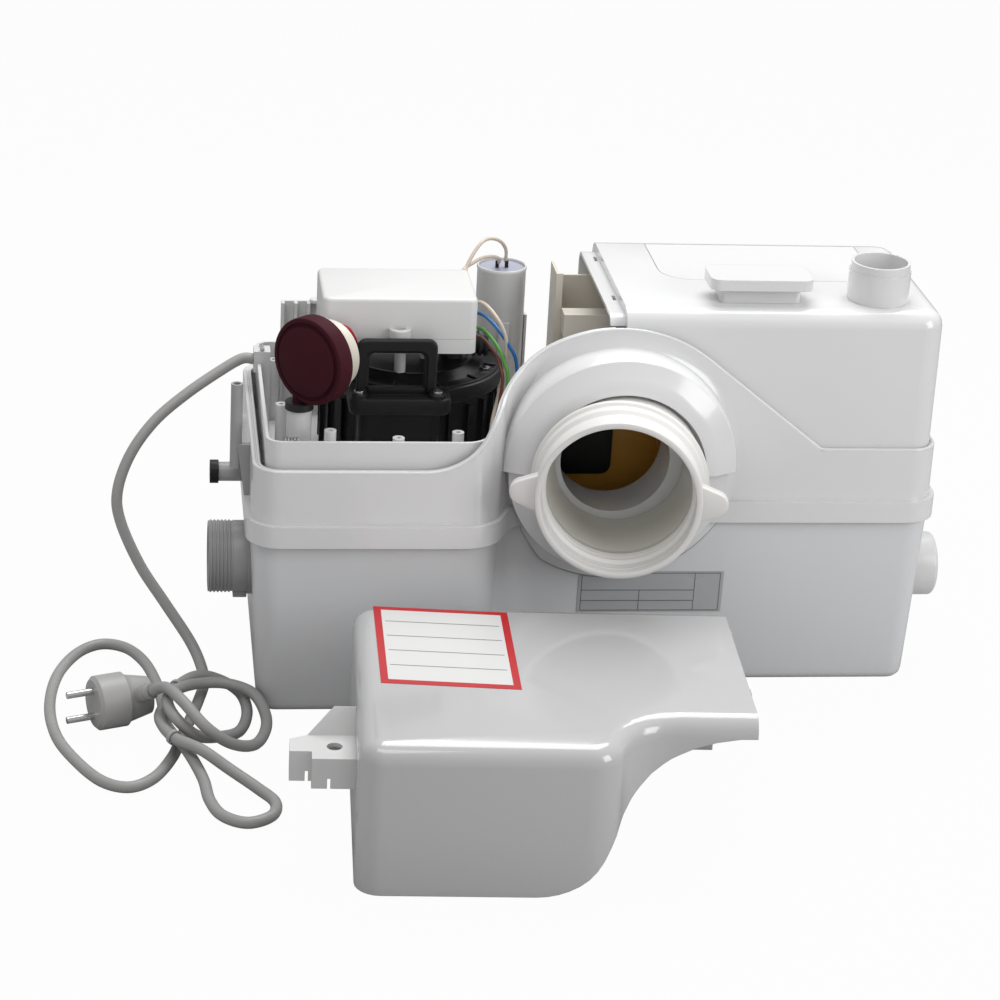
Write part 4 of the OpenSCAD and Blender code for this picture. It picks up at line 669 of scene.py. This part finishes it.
bm = bmesh.new()
loft_rings(bm, [[(pump_axis.x + x, pump_axis.y + y, z) for x, y in plate_outline(inset)] for inset, z in (
    (0.0014, parting_z + 0.0002), (0.0004, parting_z + 0.0012), (0.0, parting_z + 0.003),
    (0.0, cover_z - 0.0022), (0.0006, cover_z - 0.0007), (0.0020, cover_z))])
turned(bm, [(0.0, -0.001), (0.0655, -0.001), (0.0655, 0.0008), (0.0648, 0.0013), (0.0632, 0.0013),
            (0.0625, 0.0006), (0.0560, 0.0006), (0.0545, 0.0012), (0.0520, 0.0030), (0.0470, 0.0042),
            (0.0462, 0.0050), (0.0440, 0.0050), (0.0432, 0.0046), (0.0330, 0.0058), (0.0300, 0.0064),
            (0.0, 0.0066)], (pump_axis.x, pump_axis.y, cover_z), 96)
for i in range(spoke_count):
    spoke = bmesh.new()
    block(spoke, (0.0545, -0.0009, -0.001), (0.0640, 0.0009, 0.0022), 0.0004)
    add_turned(bm, spoke, Matrix.Translation((pump_axis.x, pump_axis.y, cover_z))
               @ Matrix.Rotation(2 * math.pi * (i + 0.5) / spoke_count, 4, "Z"))
for x, y, lift in ((-0.042, -0.0795, 0.003), (0.013, -0.0795, 0.003), (0.0525, -0.025, 0.001),
                   (-0.058, -0.028, 0), (-0.050, 0.040, 0), (0, 0.064, 0), (0.050, 0.040, 0)):
    turned(bm, [(0, 0.0002), (0.0056, 0.0002), (0.0060, 0.001), (0.0060, 0.0112 + lift),
                (0.0054, 0.012 + lift), (0.0042, 0.0121 + lift), (0, 0.0121 + lift)],
           (pump_axis.x + x, pump_axis.y + y, parting_z), 28)
handle_left, handle_right = -0.1729, -0.1165
handle_front, handle_back = -0.0468, -0.0406
handle_top = 0.2583
handle_round = 0.0062
window_left, window_right = -0.1640, -0.1257
window_low, window_high = 0.2230, 0.2477
window_round = 0.0034


def handle_line(inset):
    """The handle's outline in X and Z, from its left foot over the top to its right foot."""
    left, right, top = handle_left + inset, handle_right - inset, handle_top - inset
    corner = handle_round - inset
    return ([(left - 0.002, cover_z - 0.001), (left, cover_z + 0.003)]
            + arc_points(left + corner, top - corner, corner, 180, 90, 6)
            + arc_points(right - corner, top - corner, corner, 90, 0, 6)
            + [(right, cover_z + 0.003), (right + 0.002, cover_z - 0.001)])


def window_line(inset):
    """The outline of the opening in the handle, in the same order."""
    left, right, corner = window_left - inset, window_right + inset, window_round + inset
    low, high = window_low - inset, window_high + inset
    return ([(left, low), (left, low + 0.002)]
            + arc_points(left + corner, high - corner, corner, 180, 90, 6)
            + arc_points(right - corner, high - corner, corner, 90, 0, 6)
            + [(right, low + 0.002), (right, low)])


rows = []
for inset, y in ((0.0012, handle_front), (0.0003, handle_front + 0.0008), (0, handle_front + 0.002),
                 (0, handle_back - 0.002), (0.0003, handle_back - 0.0008), (0.0012, handle_back)):
    rows.append([bm.verts.new((x, y, z)) for x, z in handle_line(inset)])
for inset, y in ((0.0012, handle_back), (0.0003, handle_back - 0.0008), (0, handle_back - 0.002),
                 (0, handle_front + 0.0035), (0.0026, handle_front + 0.0022), (0.0028, handle_front)):
    rows.append([bm.verts.new((x, y, z)) for x, z in window_line(inset)])
for low, high in zip(rows, rows[1:] + rows[:1]):
    for i in range(len(low) - 1):
        bm.faces.new((low[i], low[i + 1], high[i + 1], high[i]))
for end in (0, -1):
    bm.faces.new([row[end] for row in rows])
block(bm, (window_left - 0.001, handle_front + 0.0010, cover_z - 0.001),
      (window_right + 0.001, handle_back - 0.0006, window_low), 0.0007)
pump_cover = settle("pump_cover_moulding", bm, black_glass, "unit")
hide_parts("pump_cover")

# Back bracket and small spring
# A ribbed white bracket stands at the back of the pump chamber, and a loose steel coil lies in the chamber's
# front corner, beside the switch's tube.
dress(small_white, "back_bracket")
spring_x, spring_y, spring_z = -0.2235, -0.0705, 0.1925
spring_len, spring_deep, spring_high = 0.0105, 0.0022, 0.0024
spring_steps = 60
spring_turn = 0.52
coil = [(spring_x + spring_len * i / spring_steps, spring_y + spring_deep * math.cos(i * spring_turn),
         spring_z + spring_high * math.sin(i * spring_turn)) for i in range(spring_steps + 1)]
spring = paint(strand("small_spring", coil, 0.0005, 2), bright_steel)
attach(spring, "unit")

# Electrics box
# A white moulded box on the pump, with cream clamps in it. Its lid is a thin cup with rounded edges and a
# slotted tab at its front.
dress(small_white, "box_base", "box_lid")
dress(cream, "terminal_block")
lid_left, lid_right, lid_front, lid_back = -0.197, -0.088, -0.032, 0.038
lid_low, lid_top = 0.254, 0.2835
lid_corner, lid_least_corner = 0.006, 0.0012
tab_r, tab_bore_r, tab_h = 0.0080, 0.0042, 0.0070
tab_place = (-0.1425, lid_front, 0.2555)


def lid_ring(inset, z):
    """The lid's rounded outline, set in, at a height."""
    x0, x1, y0, y1 = lid_left + inset, lid_right - inset, lid_front + inset, lid_back - inset
    r = max(lid_corner - inset, lid_least_corner)
    flat = (arc_points(x1 - r, y0 + r, r, 270, 360, 6) + arc_points(x1 - r, y1 - r, r, 0, 90, 6)
            + arc_points(x0 + r, y1 - r, r, 90, 180, 6) + arc_points(x0 + r, y0 + r, r, 180, 270, 6))
    return [(x, y, z) for x, y in flat]


bm = bmesh.new()
loft_rings(bm, [lid_ring(0.002, lid_top - 0.002), lid_ring(0.002, lid_low), lid_ring(0.0003, lid_low),
                lid_ring(0, lid_low + 0.0004), lid_ring(0, lid_top - 0.0025),
                lid_ring(0.0004, lid_top - 0.0011), lid_ring(0.0013, lid_top - 0.0003),
                lid_ring(0.0026, lid_top)])
turned(bm, [(tab_bore_r, 0), (tab_r - 0.0004, 0), (tab_r, 0.0006), (tab_r, tab_h - 0.0006),
            (tab_r - 0.0004, tab_h), (tab_bore_r, tab_h)], tab_place, 36, closed=True)
lid = settle("box_lid_moulding", bm, small_white, "electrics_lid")
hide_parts("box_lid")

# Capacitor
# A white tube beside the pump, held by a clip. Its end is rolled over a lilac disc, which carries two
# black tags for the wires.
lilac = finish_of("lilac disc", (0.42, 0.43, 0.52), (0.33, 0.34, 0.42), 0.4, edge=0.0003)
dress(small_white, "capacitor_can", "capacitor_clip")
dress(lilac, "capacitor_top")
dress(black_glass, "capacitor_tabs")
can_r = 0.018
can_h = 0.086
can_bore_r = 0.0169
disc_z = 0.0820
can_place = (-0.058, 0.080, 0.1877)
bm = bmesh.new()
turned(bm, [(0, 0), (can_r - 0.0004, 0), (can_r, 0.0004), (can_r, can_h - 0.0034),
            (can_r + 0.0004, can_h - 0.0026), (can_r + 0.0005, can_h - 0.0012),
            (can_r + 0.0001, can_h - 0.0002), (can_r - 0.0005, can_h), (can_bore_r + 0.0001, can_h - 0.0004),
            (can_bore_r, disc_z), (0, disc_z)], can_place, 64)
can = settle("capacitor_can_rolled", bm, small_white, "unit")
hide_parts("capacitor_can")

# Pressure switch
# A dark red moulded cap with a raised disc and a fine groove, on a cream ring, pushed with a rubber neck on a
# white tube. Behind it stand a green terminal block, three black levers and the steel tags.
maroon = finish_of("maroon moulding", (0.060, 0.012, 0.019), (0.035, 0.007, 0.011), 0.6, specular=0.08,
                   grain=800, depth=0.00005, edge=0.0006)
dark_green = finish_of("dark green moulding", (0.012, 0.05, 0.03), (0.006, 0.03, 0.02), 0.4)
dress(maroon, "switch_cap")
dress(cream, "switch_body")
dress(black_rubber, "switch_diaphragm", "switch_grommet")
dress(bright_steel, "switch_blades")
dress(small_white, "pressure_tube")
switch_turn = (Matrix.Translation((-0.210, -0.065, 0.248)) @ Matrix.Rotation(math.radians(225), 4, "Z")
               @ Matrix.Rotation(math.radians(90), 4, "Y"))
switch_r = 0.0310
switch_bore_r = 0.0280
switch_deep = -0.0140
switch_wall = -0.0070
stem_r, stem_h = 0.005, 0.006
stem_place = (-0.2126, -0.0525, 0.2150)
bm = bmesh.new()
turned(bm, [(0, 0), (0.0240, 0), (0.0248, -0.0004), (0.0251, -0.0012), (0.0252, -0.0024), (0.0262, -0.0026),
            (0.0274, -0.0024), (0.0278, -0.0016), (0.0298, -0.0016), (0.0306, -0.0020), (switch_r, -0.0030),
            (switch_r, switch_deep), (switch_bore_r, switch_deep), (switch_bore_r, switch_wall),
            (0, switch_wall)], (0, 0, 0), 96)
stem = bmesh.new()
turned(stem, [(0, 0), (stem_r, 0), (stem_r, stem_h), (0, stem_h)], stem_place, 24)
add_turned(bm, stem, switch_turn.inverted())
switch_cap = settle("switch_cap_moulding", bm, maroon, "unit", 30, switch_turn)
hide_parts("switch_cap")
bm = bmesh.new()
block(bm, (-0.0170, -0.0150, -0.0330), (0.0020, 0.0040, -0.0292), 0.0006)
settle("switch_terminal_block", bm, dark_green, "unit", turn=switch_turn)
bm = bmesh.new()
for low, high in (((-0.0140, -0.0130, -0.0400), (-0.0100, 0.0020, -0.0332)),
                  ((-0.0050, -0.0120, -0.0390), (-0.0015, 0.0010, -0.0332)),
                  ((0.0050, -0.0120, -0.0360), (0.0120, -0.0060, -0.0292))):
    block(bm, low, high, 0.0005)
settle("switch_levers", bm, black_glass, "unit", turn=switch_turn)

# Cable clamp
# A white moulded block holds the mains cable at the casing's left edge. Two steel screws go into it
# from above.
dress(small_white, "cable_clamp")
dress(bright_steel, "clamp_screws")


# Lead wires
# Stranded copper in coloured insulation. A red one runs from the pressure switch to the box, four leave the
# box at its right for the motor, and two cream ones arch over to the capacitor's tags.
def insulation(name, colour):
    """Thin coloured plastic of a wire."""
    return finish_of(name, colour, tuple(0.6 * c for c in colour), 0.3, edge=0, grain=500, depth=0.00003,
                     painted_shade=0.2)


wire_r = 0.0013
wire_cream = insulation("cream insulation", (0.70, 0.60, 0.50))
wires = (
    ("red_wire", insulation("red insulation", (0.50, 0.01, 0.015)),
     [(-190, -42, 262), (-187, -41, 265.5), (-183, -41, 266.5), (-178, -40, 263), (-174, -38, 255),
      (-171, -36, 246), (-170, -35, 233)]),
    ("white_wire", wire_cream,
     [(-88, 0, 270), (-82.7, -2, 272), (-77.8, -12, 271), (-72.4, -22, 266), (-68, -26, 258), (-66, -27, 247),
      (-67, -24, 225), (-70, -22, 205), (-74, -30, 190), (-76, -40, 172)]),
    ("blue_wire", insulation("blue insulation", (0.01, 0.14, 0.42)),
     [(-88, 2, 263), (-81.8, -2, 263), (-76, -12, 261), (-70, -22, 256), (-64, -28, 248), (-59, -30, 238),
      (-58, -32, 220), (-61, -36, 200), (-66, -40, 172)]),
    ("earth_wire", insulation("green and yellow insulation", (0.10, 0.40, 0.05)),
     [(-88, -6, 255), (-81.5, -8, 254), (-75, -15, 249), (-70, -25, 243), (-67, -31, 236), (-65, -36, 228),
      (-66, -42, 205), (-70, -48, 172)]),
    ("brown_wire", insulation("brown insulation", (0.14, 0.04, 0.02)),
     [(-88, -8, 249), (-81, -9, 247), (-76, -16, 243), (-72, -24, 239), (-70, -32, 233), (-69, -38, 226),
      (-72, -46, 205), (-77, -54, 172)]),
    ("capacitor_wire_long", wire_cream,
     [(-90, 34, 281), (-89, 39, 285), (-83, 45, 294.5), (-76.5, 52, 300), (-70, 59, 300), (-62, 67, 295.6),
      (-56.5, 74, 287), (-55.5, 80, 276)]),
    ("capacitor_wire_short", wire_cream,
     [(-92, 34, 281), (-90.5, 38, 284), (-83, 46, 286), (-76, 55, 286.5), (-68, 63, 285), (-61.5, 71, 281),
      (-60.5, 79, 275)]),
)
for name, material, places in wires:
    wire = paint(strand(name, smooth_line(in_metres(places), 8), wire_r, 3), material)
    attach(wire, "unit")
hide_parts("lead_wires")


# Labels
# Printed film stuck on the shell: a bare silver plate with fine rules low on the tank's front, and a white
# field with a red border on the loose cover. Both are left without words.
def film(name, corners, thick, material, body, share=(0, 0, 1, 1)):
    """A thin film between four corners, or the named share of it."""
    a, b, c, d = (Vector(v) for v in corners)
    flat = (b - a).cross(d - a).normalized()

    def at(u, v, lift):
        return (a * (1 - u) + b * u) * (1 - v) + (d * (1 - u) + c * u) * v + flat * lift

    u0, v0, u1, v1 = share
    points = [at(u, v, lift) for lift in (0, thick) for u, v in ((u0, v0), (u1, v0), (u1, v1), (u0, v1))]
    faces = [(3, 2, 1, 0), (4, 5, 6, 7), (0, 1, 5, 4), (1, 2, 6, 5), (2, 3, 7, 6), (3, 0, 4, 7)]
    mesh = bpy.data.meshes.new(name)
    mesh.from_pydata([tuple(q) for q in points], [], faces)
    piece = paint(bpy.data.objects.new(name, mesh), material)
    bpy.context.scene.collection.objects.link(piece)
    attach(piece, body)


print_red = finish_of("red print", (0.56, 0.012, 0.018), (0.42, 0.01, 0.012), 0.3, edge=0)
print_white = finish_of("white print", (0.74, 0.74, 0.73), (0.66, 0.66, 0.65), 0.3, edge=0)
print_grey = finish_of("grey print", (0.20, 0.20, 0.20), (0.14, 0.14, 0.14), 0.35, edge=0)
print_silver = finish_of("silver film", (0.50, 0.51, 0.52), (0.42, 0.43, 0.44), 0.28, edge=0)
cover_top = 0.106
label_corners = [(-0.1690, -0.2729, cover_top), (-0.0792, -0.2841, cover_top), (-0.0750, -0.1674, cover_top),
                 (-0.1653, -0.1564, cover_top)]
label_rules = (0.23, 0.42, 0.61, 0.80)
label_rule_wide = 0.008
film("cover_label", label_corners, 0.0002, print_red, "pump_chamber_cover")
film("cover_label_field", label_corners, 0.0003, print_white, "pump_chamber_cover",
     (0.055, 0.05, 0.945, 0.955))
for i, v in enumerate(label_rules):
    film(f"cover_label_rule_{i + 1}", label_corners, 0.00035, print_grey, "pump_chamber_cover",
         (0.08, v, 0.92, v + label_rule_wide))
plate_low, plate_high = 0.0570, 0.0895
plate_x0, plate_x1 = -0.0092, 0.0965
plate_low_y, plate_high_y = -0.06046, -0.06208
plate_corners = [(plate_x0, plate_low_y, plate_low), (plate_x1, plate_low_y, plate_low),
                 (plate_x1, plate_high_y, plate_high), (plate_x0, plate_high_y, plate_high)]
film("rating_plate", plate_corners, 0.0003, print_silver, "unit")
for i, share in enumerate(((0.02, 0.03, 0.98, 0.05), (0.02, 0.95, 0.98, 0.97), (0.02, 0.03, 0.025, 0.97),
                           (0.975, 0.03, 0.98, 0.97), (0.02, 0.53, 0.80, 0.55), (0.02, 0.27, 0.80, 0.29),
                           (0.80, 0.03, 0.805, 0.97), (0.42, 0.03, 0.425, 0.54))):
    film(f"rating_plate_rule_{i + 1}", plate_corners, 0.0004, print_grey, "unit", share)
